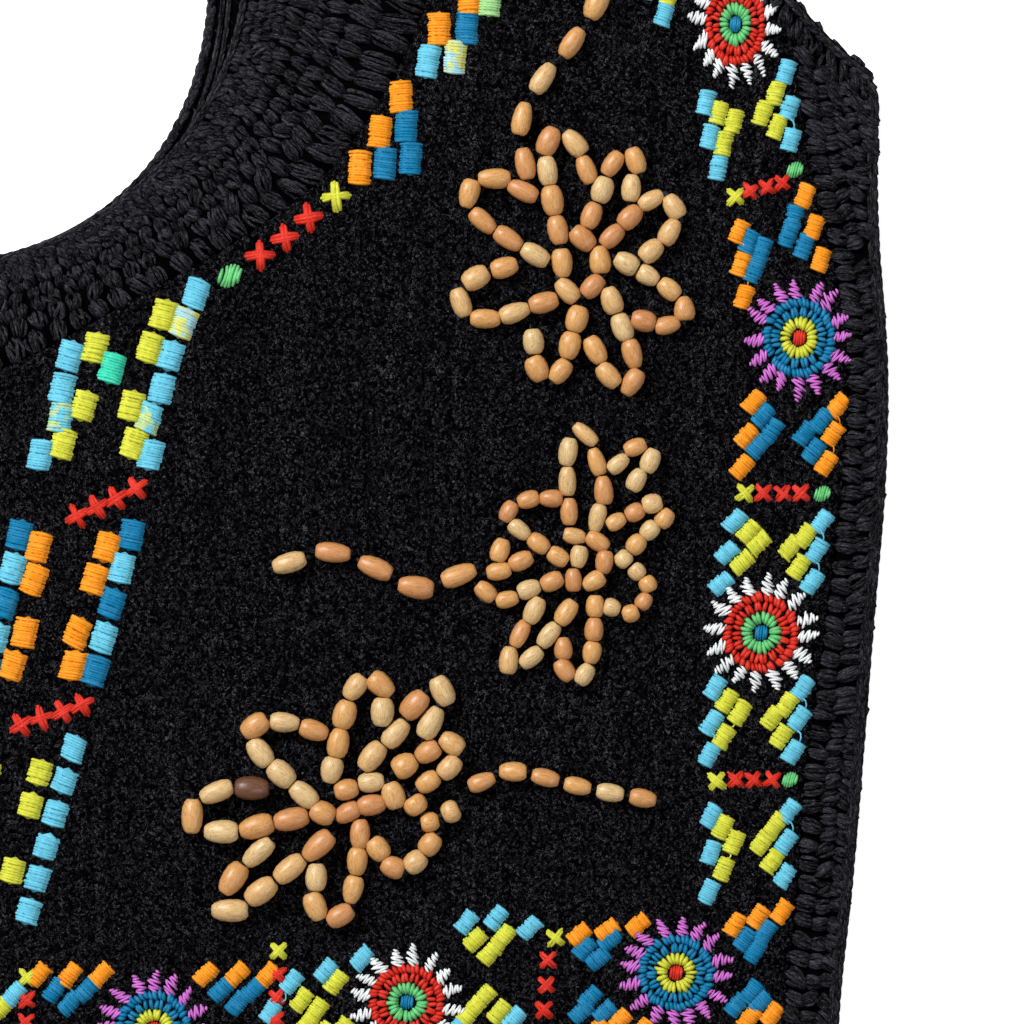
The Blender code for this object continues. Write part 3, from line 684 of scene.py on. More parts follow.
def stitch_row(band, start, end, pitch, high, girth=1.0, lean=0.0, stagger=0.0, plies=4, sides=4,
               rings=5, uneven=1.0, flat_low=None, crown=0.7):
    """A row of stitches that run across the band, from share start to share end.

    Each stitch is a bundle of strands that spread in its middle and meet at its ends. A flat_low
    makes the strands flat, down to that height, as for a side that lies on the table.
    """
    def loose(kind, *shape):
        return dice.normal(0.0, LOOSE[kind] * uneven, shape)

    count = max(int(round(length_at(band, 0.5 * (start + end)) / pitch)), 2)
    run = (np.arange(count) + 0.5 + stagger) / count
    run = np.clip(run + loose("place", count) / count, 0.2 / count, 1 - 0.2 / count)
    tilt = (lean + loose("tilt", count)) / count
    reach = (end - start) * loose("reach", 2, count)
    a = at(band, run - tilt, start + reach[0])
    b = at(band, run + tilt, end + reach[1])
    share = np.linspace(0.0, 1.0, rings)
    arch = np.sin(np.pi * share)
    across = unit(across_of(a, b))
    half = 0.5 * pitch * girth * (1.0 + loose("size", count, 1))
    lanes = (np.arange(plies) + 0.5) / plies * 2.0 - 1.0
    lane_in = lanes + loose("lane_in", count, plies)
    lane_out = lanes * 0.9 + loose("lane_out", count, plies)
    lane = lane_in[:, :, None] * (1.0 - share) + lane_out[:, :, None] * share
    bow = loose("bow", count, 1, 1) * arch
    curl = loose("curl", count, plies, 1) * np.sin(2.0 * np.pi * share)
    spread = half[:, :, None] * (lane * (0.48 + 0.52 * arch ** 0.7) + bow + curl)
    place = share + loose("slide", count, plies, 1)
    flat = (a[:, None, None] + (b - a)[:, None, None] * place[..., None]
            + across[:, None, None] * spread[..., None])
    ply_half = half[:, :, None] / plies * (1.0 if plies == 1 else PLY_OVERLAP)
    wide = ply_half * (0.6 + 0.4 * arch ** 0.5) * np.ones((count, plies, 1))
    dome = crown * lane ** 2 * (1.0 if plies > 1 else 0.0)
    lift = loose("lift", count, 1, 1) + loose("ply_lift", count, plies, 1)
    top = high + lift - dome - END_DROP * (1.0 - arch)
    if flat_low is None:
        tall = wide * 1.05
    else:
        tall = np.broadcast_to(0.5 * (high - flat_low) * (0.55 + 0.45 * arch), wide.shape)
        top = np.broadcast_to(high - 0.2 * (1.0 - arch), wide.shape)
    middle = raised(flat, top - tall)
    shape = (count * plies, rings)
    return strands(middle.reshape(*shape, 3), wide.reshape(shape), tall.reshape(shape), sides=sides,
                   lobe=0.05, twist=0.15)


def chain_edge(band, place, pitch, low, high, girth, spread=0.55, shift=0.0, sides=4):
    """A chain along an edge: two rows of slanting loops that meet in Vs."""
    run_mm = length_at(band, place)
    count = int(round(run_mm / pitch))
    batches = []
    for leg in (-1.0, 1.0):
        run = (np.arange(count) + 0.5) / count
        start = at(band, run - 0.62 / count, np.full(count, place), shift + 0.05 * leg)
        end = at(band, run + 0.62 / count, np.full(count, place), shift + spread * leg)
        share = np.linspace(0.0, 1.0, 5)
        arch = np.sin(np.pi * share)
        wide = 0.5 * girth * (0.45 + 0.55 * arch ** 0.6)[None, :] * dice.normal(1.0, 0.06, (count, 1))
        tall = 0.5 * (high - low) * (0.5 + 0.5 * arch)[None, :] * np.ones((count, 1))
        top = high - 0.3 * (1.0 - arch)[None, :] + dice.normal(0.0, 0.06, (count, 1))
        middle = raised(between(start, end, share), top - tall)
        batches.append(strands(middle, wide, tall, sides=sides, lobe=0.08, twist=0.2))
    return joined(batches)


# A tone far below any yarn's: it clamps the backing to the darkest black, painted shade in the gaps
# between stitches.
BACKING_PAINTED_SHADE = -4.0


def backing(band, low, high, start=0.02, end=0.98, stations=90):
    """The ground that the stitches stand on: a thin closed strip, coloured darkest black as painted
    shade between the stitches.
    """
    run = np.linspace(0.0, 1.0, stations)
    a = at(band, run, np.full(stations, start))
    b = at(band, run, np.full(stations, end))
    columns = []
    for share, height in ((0.0, low), (0.0, high), (0.25, high), (0.5, high), (0.75, high),
                          (1.0, high), (1.0, low), (0.5, low)):
        columns.append(raised(a + (b - a) * share, np.full(stations, height)))
    around = len(columns)
    points = np.stack(columns, axis=1).reshape(-1, 3)
    quads = ring_quads(stations, around).reshape(-1, 4)
    fan = np.array([(0, k, k + 1) for k in range(1, around - 1)])
    tris = np.concatenate([fan[:, ::-1], fan + (stations - 1) * around])
    if np.cross(b[1] - a[1], a[2] - a[1]) > 0.0:
        quads = quads[:, ::-1]
        tris = tris[:, ::-1]
    return {"points": points, "quads": quads, "tris": tris, "thread": np.zeros_like(points),
            "tone": np.full(len(points), BACKING_PAINTED_SHADE)}


# %% [markdown]
# ### Neck yoke
# Nine rows follow the scoop. Next to the neckline are a firm chain edge and four rows of small
# knots. Then come five rows of puffs, which grow towards the knit from three strands to six.

# %% Front yoke
YOKE_TURN = 0.026
front_neck = band_between(both_sides(neck_edge(FRONT_NECK)), both_sides(yoke_edge()), rise=YOKE_TURN)
# Each row: from and to as shares of the yoke's depth, pitch, lean, strands.
YOKE_PUFFS = [
    (0.27, 0.40, 3.4, 0.1, 3), (0.38, 0.52, 3.6, -0.1, 4), (0.49, 0.64, 4.0, 0.05, 4),
    (0.61, 0.80, 4.5, -0.1, 5), (0.77, 1.02, 5.0, 0.05, 6),
]
# Each row: from, to, pitch.
YOKE_KNOTS = [(0.045, 0.12, 2.6), (0.1, 0.175, 2.7), (0.155, 0.235, 2.8), (0.21, 0.3, 2.9)]
puffs = [stitch_row(front_neck, a, b, pitch, CROCHET_TOP + 0.3, girth=0.95, lean=lean, plies=plies,
                    stagger=0.5 * (k % 2), uneven=0.7, crown=1.0)
         for k, (a, b, pitch, lean, plies) in enumerate(YOKE_PUFFS)]
knots = [stitch_row(front_neck, a, b, pitch, CROCHET_TOP + 0.1, girth=1.0, lean=0.24, plies=2,
                    stagger=0.5 * (k % 2), uneven=0.9, crown=0.2)
         for k, (a, b, pitch) in enumerate(YOKE_KNOTS)]
knots.append(chain_edge(front_neck, 0.0, 2.9, 2.5, CROCHET_TOP - 0.1, 1.25, shift=1.0, sides=5))
knots.append(backing(front_neck, FRONT_BASE, 3.3, stations=140, end=1.0))
yoke_puffs = make_piece("crochet_yoke_puffs", puffs, YARN, ["front_yoke"])
yoke_knots = make_piece("crochet_yoke_knots", knots, YARN, ["front_yoke"])

# %% [markdown]
# ### Back of the neck
# The back's own chain edge shows inside the front's neckline, with a dark groove between them.

# %% Back yoke
# The underside of every band: broad flat stitches that lie on the table.
UNDER = {"high": 1.75, "flat_low": 0.02, "plies": 1, "rings": 4, "uneven": 0.6}
back_neck = band_between(both_sides(neck_edge(BACK_NECK)), both_sides(yoke_edge()), rise=YOKE_TURN)
back_parts = [chain_edge(back_neck, 0.0, 2.9, 0.35, 2.6, 1.9, spread=0.75, shift=1.7, sides=5)]
for shift, top in ((4.5, 2.5), (6.2, 2.3)):
    back_parts.append(chain_edge(back_neck, 0.0, 3.0, 1.0, top, 1.0, spread=0.4, shift=shift))
for k, (a, b, pitch) in enumerate([(0.08, 0.4, 6.4), (0.36, 0.7, 6.6), (0.66, 0.99, 6.8)]):
    back_parts.append(stitch_row(back_neck, a, b, pitch, stagger=0.5 * (k % 2), **UNDER))
back_parts.append(backing(back_neck, 0.25, 1.5, stations=160))
yoke_back = make_piece("crochet_yoke_back", back_parts, YARN, ["back_yoke"])

# %% [markdown]
# ### Armholes, sides, shoulders and hem
# The armhole has one row of puffs and a chain edge. Each side band has a row of heavy bars, one
# to four rows of smaller loops where there is room, and chains over the fold. The hem band is
# worked like the sides. All are made from the same rows, with the other side of the vest drawn
# afresh and not copied.


# %% Bands of the two sides
def armhole_band(turn):
    inner = oval_stretch(ARMHOLE_BAND, UNDERARM_X - 1.6, UNDERARM_INNER_X, 5)[:-1]
    inner += armhole_edge(ARMHOLE_BAND, UNDERARM_INNER_X, ARMHOLE_BAND_TIP)
    outer = oval_stretch(ARMHOLE, UNDERARM_X - 1.6, UNDERARM_MIDDLE_X, 4)[:-1]
    outer += armhole_edge(ARMHOLE, UNDERARM_MIDDLE_X, SHOULDER_TIP)
    return band_between(turn(inner), turn(outer))


def side_strip(turn):
    """The side band's two edges, matched level with each other but for its mitred ends."""
    hem_inner = (HEM_INNER_CORNER_X, hem_y(HEM_INNER_CORNER_X, HEM_BAND))
    hem_outer = (HEM_CORNER_X, hem_y(HEM_CORNER_X))
    underarm = oval_stretch(ARMHOLE_BAND, UNDERARM_X, UNDERARM_INNER_X, 2)
    inner = np.array(side_edge("inner_x", underarm[-1][1], hem_inner))[::-1]
    outer = np.array(side_edge("outer_x", underarm[0][1], hem_outer))[::-1]
    inner_y = np.linspace(underarm[-1][1], hem_inner[1], 500)
    top_drop = (underarm[-1][1] - underarm[0][1]) * np.exp((inner_y - underarm[-1][1]) / 22.0)
    end_drop = (hem_inner[1] - hem_outer[1]) * np.exp((hem_inner[1] - inner_y) / 22.0)
    outer_y = inner_y - top_drop - end_drop
    inner_x = np.interp(inner_y, inner[:, 1], inner[:, 0])
    outer_x = np.interp(outer_y, outer[:, 1], outer[:, 0])
    return {"inner": np.array(turn(list(zip(inner_x, inner_y)))),
            "outer": np.array(turn(list(zip(outer_x, outer_y))))}


CORNER = [(230.5, 38.6), (234.2, 36.9), (236.4, 34.2), (237.4, 31.0)]
CORNER_IN = [(229.0, 34.8), (231.2, 33.8), (232.6, 32.2), (233.4, 30.0)]


def fold_edge(strip, turn):
    """The outermost 4 mm of a side strip, carried round the underarm corner."""
    run = np.linspace(0.0, 1.0, EDGE_POINTS)
    inner = at(strip, run, 0.0 * run + 1.0, -4.0)
    return {"inner": evenly(np.vstack([turn(CORNER_IN), inner]), EDGE_POINTS),
            "outer": evenly(np.vstack([turn(CORNER), strip["outer"]]), EDGE_POINTS)}


def shoulder_strip(turn):
    xs = np.linspace(NECK_AT_SHOULDER, SHOULDER_TIP, 6)
    inner = [(x, shoulder_y(x, SHOULDER_JOIN)) for x in xs]
    outer = [(x, shoulder_y(x)) for x in xs]
    return band_between(turn(inner), turn(outer))


# Each lane: near and far edge in mm, from and to along the band, pitch, rise, lean, strands,
# stagger.
SIDE_LANES = [
    (-0.4, 5.4, 0.0, 1.0, 4.5, 0.6, 0.06, 4, 0.0), (4.6, 8.8, 0.0, 0.2, 4.3, 0.4, -0.2, 3, 0.5),
    (4.6, -2.2, 0.2, 0.66, 4.5, 0.4, -0.2, 3, 0.5), (4.6, 8.8, 0.66, 1.0, 4.5, 0.4, -0.2, 3, 0.5),
    (8.0, 12.0, 0.0, 0.19, 4.2, 0.3, 0.2, 3, 0.0), (8.0, -1.8, 0.66, 1.0, 4.5, 0.2, 0.2, 3, 0.0),
    (11.3, 15.2, 0.0, 0.13, 4.0, 0.2, -0.2, 3, 0.5), (14.6, 18.6, 0.0, 0.09, 3.8, 0.1, 0.2, 3, 0.0),
    (18.0, 22.0, 0.0, 0.045, 3.6, 0.0, -0.2, 3, 0.5),
]
for side, turn in (("left", list), ("right", mirrored)):
    arm = armhole_band(turn)
    parts = [stitch_row(arm, 0.0, 0.58, 3.8, CROCHET_TOP + 0.2, lean=0.25, plies=4, uneven=1.2),
             chain_edge(arm, 0.72, 2.9, 2.6, CROCHET_TOP - 0.2, 1.4, spread=0.9, shift=0.5),
             stitch_row(arm, 0.0, 0.6, 6.0, **UNDER),
             stitch_row(arm, 0.5, 1.0, 6.0, stagger=0.5, **UNDER),
             chain_edge(arm, 0.9, 3.4, 0.9, 3.1, 1.4, spread=0.4),
             backing(arm, 0.25, 3.3, start=-0.06)]
    make_piece("crochet_armhole_" + side, parts, YARN,
                             ["front_armhole_" + side, "back_armhole_" + side])
    strip = side_strip(turn)
    parts = [stitch_row(lane_of(strip, near, far, low, high), 0.0, 1.0, pitch, CROCHET_TOP + rise,
                        lean=lean, plies=plies, girth=0.88, uneven=0.6, crown=1.2, stagger=stagger)
             for near, far, low, high, pitch, rise, lean, plies, stagger in SIDE_LANES]
    fold = fold_edge(strip, turn)
    parts += [chain_edge(fold, 1.0, 2.8, 2.4, CROCHET_TOP - 0.7, 1.2, spread=0.5, shift=-2.6),
             chain_edge(fold, 1.0, 3.0, 2.0, CROCHET_TOP - 1.1, 1.2, spread=0.5, shift=-1.5),
             chain_edge(fold, 1.0, 3.0, 1.1, 3.5, 1.3, spread=0.3, shift=-0.8),
             chain_edge(strip, 0.93, 3.2, 0.05, 2.0, 1.4, spread=0.6),
             stitch_row(strip, 0.0, 0.5, 6.4, **UNDER),
             stitch_row(strip, 0.45, 0.93, 6.4, stagger=0.5, **UNDER),
             backing(strip, 0.25, 3.2, start=-0.05, end=0.93)]
    make_piece("crochet_side_" + side, parts, YARN, ["side_band_" + side])
    join = shoulder_strip(turn)
    parts = [stitch_row(join, 0.0, 0.7, 3.4, CROCHET_TOP - 0.2, lean=0.2, plies=3),
             chain_edge(join, 0.86, 3.0, 2.2, CROCHET_TOP - 0.6, 1.5, spread=0.5),
             chain_edge(join, 0.86, 3.0, 0.05, 2.2, 1.5, spread=0.5),
             stitch_row(join, 0.0, 0.8, 6.0, **UNDER),
             backing(join, 0.25, 3.4, end=0.88, stations=20)]
    make_piece("crochet_shoulder_" + side, parts, YARN,
                             ["shoulder_join_" + side])

hem = band_between(both_sides(hem_edge(HEM_INNER_CORNER_X, HEM_BAND)),
                   both_sides(hem_edge(HEM_CORNER_X, 0.0)))
parts = [stitch_row(hem, 0.0, 0.46, 4.5, CROCHET_TOP + 0.4, lean=0.1, plies=4, girth=0.88),
         stitch_row(hem, 0.44, 0.78, 3.8, CROCHET_TOP, lean=-0.3, plies=2, stagger=0.5),
         chain_edge(hem, 0.88, 3.0, 2.4, CROCHET_TOP - 0.4, 1.5, spread=0.8),
         backing(hem, FRONT_BASE, 3.3, stations=100)]
make_piece("crochet_hem_front", parts, YARN, ["front_hem"])
parts = [stitch_row(hem, 0.0, 0.5, 6.4, **UNDER),
         stitch_row(hem, 0.45, 0.85, 6.4, stagger=0.5, **UNDER),
         chain_edge(hem, 0.91, 3.4, 0.02, 1.9, 1.4, spread=0.6),
         backing(hem, 0.25, 1.5, stations=100)]
make_piece("crochet_hem_back", parts, YARN, ["back_hem"])

# %% [markdown]
# ## Bead flowers
# Each flower is strings of beads sewn on in loops: a short one for its core, one for each petal
# and one for its stem. The CAD source has the same beads as plain raised ovals. Here each is a
# turned barrel with its bore, a little uneven, and black thread shows where it enters the bore.

# %% Where the beads lie, as in the CAD source
BEAD_SPACING = 1.03
BEAD_SQUEEZE = 0.2
SETTLE_ROUNDS = 60
# Each string: its number of beads, and points of the line that they lie on.
FLOWERS = [
    {
        "bead": (7.4, 5.2),
        "strings": [
            (5, [(165.5, -4.0), (169.5, -8.5), (168.0, -15.5), (162.0, -17.0), (160.5, -10.0)]),
            (6, [(159.5, -2.0), (157.0, 12.0), (157.5, 20.0), (163.0, 19.5), (166.5, 12.5)]),
            (5, [(167.5, 1.5), (173.5, 15.0), (178.0, 15.0), (177.5, 8.0)]),
            (6, [(172.5, -3.5), (182.0, 5.5), (187.5, 3.5), (186.5, -2.5), (182.0, -7.0)]),
            (6, [(176.0, -10.0), (186.0, -16.0), (190.0, -21.0), (186.0, -25.0), (180.0, -24.0)]),
            (6, [(172.5, -19.0), (177.5, -32.0), (177.0, -39.5), (172.0, -37.5), (168.5, -31.0)]),
            (5, [(164.0, -23.5), (160.0, -36.0), (155.0, -36.5), (153.5, -29.0)]),
            (6, [(156.0, -19.5), (142.5, -23.5), (136.0, -19.5), (139.0, -14.0), (146.5, -11.0)]),
            (6, [(154.0, -8.0), (141.5, 0.0), (138.0, 7.0), (144.0, 10.5), (151.0, 7.5)]),
        ],
    },
    {
        "bead": (6.8, 4.7),
        "strings": [
            (6, [(163.5, -76.0), (169.5, -77.5), (171.5, -82.0), (168.5, -86.5), (163.5, -87.5),
                 (164.5, -81.0)]),
            (7, [(162.0, -70.0), (162.0, -55.0), (165.5, -51.0), (168.5, -57.0), (170.5, -65.0),
                 (169.0, -72.0)]),
            (4, [(174.0, -58.5), (178.5, -55.0), (182.0, -55.5), (178.5, -62.5)]),
            (6, [(173.5, -72.5), (181.5, -69.0), (185.5, -70.0), (178.0, -78.5)]),
            (6, [(175.5, -81.5), (181.0, -88.5), (177.5, -94.0), (173.0, -93.5)]),
            (6, [(168.5, -93.0), (167.5, -105.0), (164.5, -110.5), (161.0, -108.0), (160.5, -103.0)]),
            (6, [(161.5, -94.5), (153.5, -105.0), (147.5, -106.5), (153.5, -93.5)]),
            (4, [(158.0, -87.0), (146.5, -91.5), (142.0, -89.5)]),
            (3, [(150.5, -82.0), (144.5, -84.5), (145.5, -79.5)]),
            (6, [(159.5, -81.0), (147.5, -72.0), (151.5, -67.5), (158.0, -67.0)]),
        ],
    },
    {
        "bead": (8.4, 5.6),
        "strings": [
            (6, [(108.0, -137.0), (116.0, -135.5), (119.5, -140.5), (114.0, -141.0), (108.0, -144.5),
                 (103.0, -143.0)]),
            (6, [(105.0, -133.0), (108.0, -118.5), (111.5, -111.5), (117.0, -112.5), (117.5, -119.0)]),
            (5, [(114.5, -129.5), (126.5, -115.5), (131.5, -113.5), (128.5, -121.0)]),
            (5, [(122.5, -131.5), (133.0, -126.0), (134.0, -131.0), (128.0, -135.5)]),
            (3, [(125.5, -141.5), (128.0, -144.5), (133.0, -143.0)]),
            (4, [(128.5, -150.5), (124.0, -155.5), (119.0, -155.5), (115.5, -151.5)]),
            (6, [(111.5, -147.5), (110.0, -161.0), (106.5, -168.0), (101.0, -166.0), (101.0, -158.5)]),
            (6, [(101.5, -151.0), (87.5, -162.0), (79.5, -166.5), (80.5, -159.5), (87.0, -152.5)]),
            (6, [(95.0, -144.5), (78.0, -147.5), (71.0, -144.0), (76.5, -138.0), (85.5, -137.0)]),
            (6, [(98.0, -138.5), (87.5, -128.5), (85.5, -122.5), (93.0, -121.0), (100.5, -123.0)]),
        ],
    },
]
STEMS = [
    {"bead": (8.0, 5.2),
     "strings": [(8, [(151.5, 14.0), (150.5, 23.5), (155.0, 33.5), (168.5, 52.0), (180.0, 84.0)])]},
    {"bead": (8.4, 5.4),
     "strings": [(5, [(135.5, -85.5), (126.0, -88.5), (117.0, -84.5), (105.5, -80.0), (94.5, -82.5)])]},
    {"bead": (6.6, 4.6),
     "strings": [(6, [(141.0, -135.5), (149.0, -133.0), (164.0, -136.5), (180.0, -139.5)])]},
]
BROWN_BEAD = (85.5, -137.0)
BROWN_TONE = 2.0


def string_beads(line, count, size):
    length, width = size
    steps = 400
    dense = evenly(smooth_curve(line, 8), steps + 1)
    run = float(np.linalg.norm(np.diff(dense, axis=0), axis=1).sum())
    length = min(length, run / (count - 1) / BEAD_SPACING)
    beads = []
    for i in range(count):
        k = round(i / (count - 1) * steps)
        a = dense[max(k - 12, 0)]
        b = dense[min(k + 12, steps)]
        beads.append([dense[k][0], dense[k][1], math.atan2(b[1] - a[1], b[0] - a[0]), length, width])
    return beads


def middle_line(bead):
    x, y, heading, length, width = bead
    half = max(0.5 * (length - width), 0.1)
    step = Vector((math.cos(heading) * half, math.sin(heading) * half))
    return Vector((x, y)) - step, Vector((x, y)) + step, 0.5 * width


def nearest_on(a, b, p):
    t = max(0.0, min(1.0, (p - a).dot(b - a) / (b - a).length_squared))
    return a.lerp(b, t)


def push_apart(first, second):
    a0, a1, ra = middle_line(first)
    b0, b1, rb = middle_line(second)
    pairs = [(p, nearest_on(b0, b1, p)) for p in (a0, a1, (a0 + a1) / 2.0)]
    pairs += [(nearest_on(a0, a1, p), p) for p in (b0, b1, (b0 + b1) / 2.0)]
    p, q = min(pairs, key=lambda pair: (pair[0] - pair[1]).length)
    gap = (p - q).length
    short = ra + rb - BEAD_SQUEEZE - gap
    if short <= 0.0:
        return Vector((0.0, 0.0))
    away = (p - q) / gap if gap > 1e-6 else Vector((1.0, 0.0))
    return away * (0.5 * short)


def settle(beads):
    for _ in range(SETTLE_ROUNDS):
        for i, first in enumerate(beads):
            for second in beads[i + 1:]:
                if math.dist(first[:2], second[:2]) > first[3]:
                    continue
                move = push_apart(first, second)
                for k in (0, 1):
                    first[k] += move[k]
                    second[k] -= move[k]
    return beads


bead_list = []
for flower, stem in zip(FLOWERS, STEMS):
    group = []
    for part in (flower, stem):
        for count, line in part["strings"]:
            group += string_beads(line, count, part["bead"])
    bead_list += settle(group)
bead_list += [[-x, y, math.pi - heading, length, width] for x, y, heading, length, width in bead_list]
print("beads:", len(bead_list))

# %% The beads themselves
BEAD_SIDES = 10
BORE_MM = 0.75
PROFILE_PLACES = np.array([-0.8, -1.0, -1.0, -0.86, -0.5, 0.0, 0.5, 0.86, 1.0, 1.0, 0.8])
PROFILE_GIRTHS = np.array([0.0, 0.0, 0.5, 0.72, 0.93, 1.0, 0.93, 0.72, 0.5, 0.0, 0.0])
BORE_SHARE = np.array([0.7, 1.0, 0, 0, 0, 0, 0, 0, 0, 1.0, 0.7])


def bead_meshes(beads):
    """Turned barrels with a sunk bore at both ends."""
    rows = np.array(beads)
    count, rings, sides = len(rows), len(PROFILE_PLACES), BEAD_SIDES
    half = 0.5 * rows[:, 3] * dice.normal(1.0, 0.03, count)
    girth = 0.48 * rows[:, 4] * dice.normal(1.0, 0.05, count)
    bulge = dice.normal(0.0, 0.07, count)
    place = half[:, None] * PROFILE_PLACES
    shape = PROFILE_GIRTHS * (1.0 + bulge[:, None] * PROFILE_PLACES)
    radius = girth[:, None] * shape + BORE_SHARE * BORE_MM
    turn = 2.0 * np.pi * np.arange(sides) / sides
    wobble = 1.0 + 0.025 * np.sin(2.0 * turn[None, :] + dice.random((count, 1)) * 6.3)
    wobble = wobble + 0.02 * np.sin(3.0 * turn[None, :] + dice.random((count, 1)) * 6.3)
    across = radius[:, :, None] * (np.cos(turn) * wobble)[:, None, :]
    height = radius[:, :, None] * (np.sin(turn) * wobble)[:, None, :]
    along = np.broadcast_to(place[:, :, None], across.shape)
    nod = dice.normal(0.0, 0.05, count)[:, None, None]
    heading = rows[:, 2][:, None, None] + dice.normal(0.0, 0.04, count)[:, None, None]
    x = rows[:, 0][:, None, None] + along * np.cos(heading) - across * np.sin(heading)
    y = rows[:, 1][:, None, None] + along * np.sin(heading) + across * np.cos(heading)
    seat = FRONT_TOP + crease_height(rows[:, 0], rows[:, 1]) + 0.94 * girth
    z = seat[:, None, None] + height + along * nod
    body = np.stack([x, y, z], -1).reshape(count, rings * sides, 3)
    ends = np.stack([body[:, :sides].mean(axis=1), body[:, -sides:].mean(axis=1)], 1)
    points = np.concatenate([body, ends], axis=1)
    quads, tris = tube_faces(count, rings, sides)
    local = np.stack([along, across, height], -1).reshape(count, rings * sides, 3)
    local = np.concatenate([local, np.zeros((count, 2, 3))], axis=1)
    local = local + dice.random((count, 1, 3)) * 80.0
    tone = dice.random(count)
    tone[np.argmin(np.hypot(rows[:, 0] - BROWN_BEAD[0], rows[:, 1] - BROWN_BEAD[1]))] = BROWN_TONE
    return {"points": points.reshape(-1, 3), "quads": quads, "tris": tris,
            "thread": local.reshape(-1, 3), "tone": np.repeat(tone, points.shape[1])}, seat


bead_batch, bead_seat = bead_meshes(bead_list)
wooden_beads = make_piece("wooden_beads", [bead_batch], WOOD, ["front_panel"])

rows = np.array(bead_list)
reach = 0.5 * rows[:, 3] + 0.9
ends = np.stack([np.cos(rows[:, 2]), np.sin(rows[:, 2])], 1) * reach[:, None]
share = np.array([-1.0, -0.82, 0.0, 0.82, 1.0])
drop = np.where(np.abs(share) > 0.9, 1.3, 0.0)
middle = raised(rows[:, None, :2] + ends[:, None, :] * share[:, None], bead_seat[:, None] - drop)
size = np.full(middle.shape[:2], 0.55)
bead_thread = make_piece("bead_thread", [strands(middle, size, size, sides=5)], YARN)

# %% [markdown]
# ## Embroidery
# Satin stitch lays threads side by side across a shape until it is covered. Each block here has
# nine or so threads, 0.62 mm apart, that arch over low padding and dive into the knit at both
# ends.


# %% One laid thread, many at once
def laid_threads(starts, ends, width, rise, rings=4, bow=0.0):
    """Threads from one point of the cloth to another."""
    starts = np.asarray(starts, dtype=float)
    ends = np.asarray(ends, dtype=float)
    count = len(starts)
    share = np.linspace(0.0, 1.0, rings)
    sway = dice.normal(0.0, 0.03, count) + bow
    arch = np.sin(np.pi * share)
    bend = across_of(starts, ends)[:, None, :] * (sway[:, None] * arch)[..., None]
    flat = between(starts, ends, share) + bend
    size = dice.normal(1.0, 0.07, (count, 1))
    wide = 0.5 * width * size * (0.82 + 0.18 * arch ** 0.5)
    tall = 0.42 * width * size * (0.7 + 0.3 * arch ** 0.5)
    ground = FRONT_TOP + crease_height(flat[..., 0], flat[..., 1])
    lift = rise * arch ** 0.55 * dice.normal(1.0, 0.08, (count, 1))
    return strands(raised(flat, ground - 0.1 + lift), wide, tall, sides=4)


thread_lists = {name: [] for name in COTTON}
pads = {name: [] for name in COTTON}
travels = {name: [] for name in COTTON}


def padding(starts, ends, half_widths):
    """The low stitches under satin blocks, which fill the gaps between their threads."""
    flat = between(np.array(starts), np.array(ends), np.linspace(0.0, 1.0, 4))
    wide = np.array(half_widths)[:, None] * np.ones(4)
    ground = FRONT_TOP + crease_height(flat[..., 0], flat[..., 1])
    return strands(raised(flat, ground + 0.25), wide, np.full(wide.shape, 0.4))


THREAD_SPACING = 0.62
KNIT_MARGIN = 2.0
PAD_SHARE = 0.42
END_SHARE = 0.48


def satin_block(colour, x, y, angle, way=1.0, stack=5.6, width=3.8):
    """Threads across a small block, which are stacked along the angle.

    way -1 puts it on the other half of the vest. A block off the knit is left out.
    """
    centre = np.array([way * x, y])
    if not inside([centre], KNIT_MARGIN)[0]:
        return None
    turn = math.radians((angle if way > 0.0 else 180.0 - angle) + dice.normal(0.0, 2.5))
    axis = np.array([math.cos(turn), math.sin(turn)])
    lean = turn + math.pi / 2.0 + dice.normal(0.0, 0.05)
    across = np.array([math.cos(lean), math.sin(lean)])
    count = int(round(stack / THREAD_SPACING))
    steps = (np.arange(count) - 0.5 * (count - 1)) * (stack / count)
    middles = centre + axis * (steps + dice.normal(0.0, 0.06, count))[:, None]
    near, far = (0.5 * width + dice.normal(0.0, 0.12, (2, count)))[..., None]
    thread_lists[colour].append((middles - across * near, middles + across * far, 1.0, 0.7))
    pad = axis * PAD_SHARE * stack
    pads[colour].append((centre - pad, centre + pad, PAD_SHARE * width))
    return centre - axis * END_SHARE * stack, centre + axis * END_SHARE * stack


# %% [markdown]
# ### Stepped blocks of the side and hem borders
# Three outer blocks stand in a column and three of another colour step in beside them. Four such
# groups frame each rosette. The pattern is a common one in folk cross stitch and satin work. The
# groups that the photograph shows keep their own uneven places, and the hidden ones follow one
# template.

# %% Groups of blocks
SKY = ("light_blue", "yellow")
FLAME = ("orange", "deep_blue")
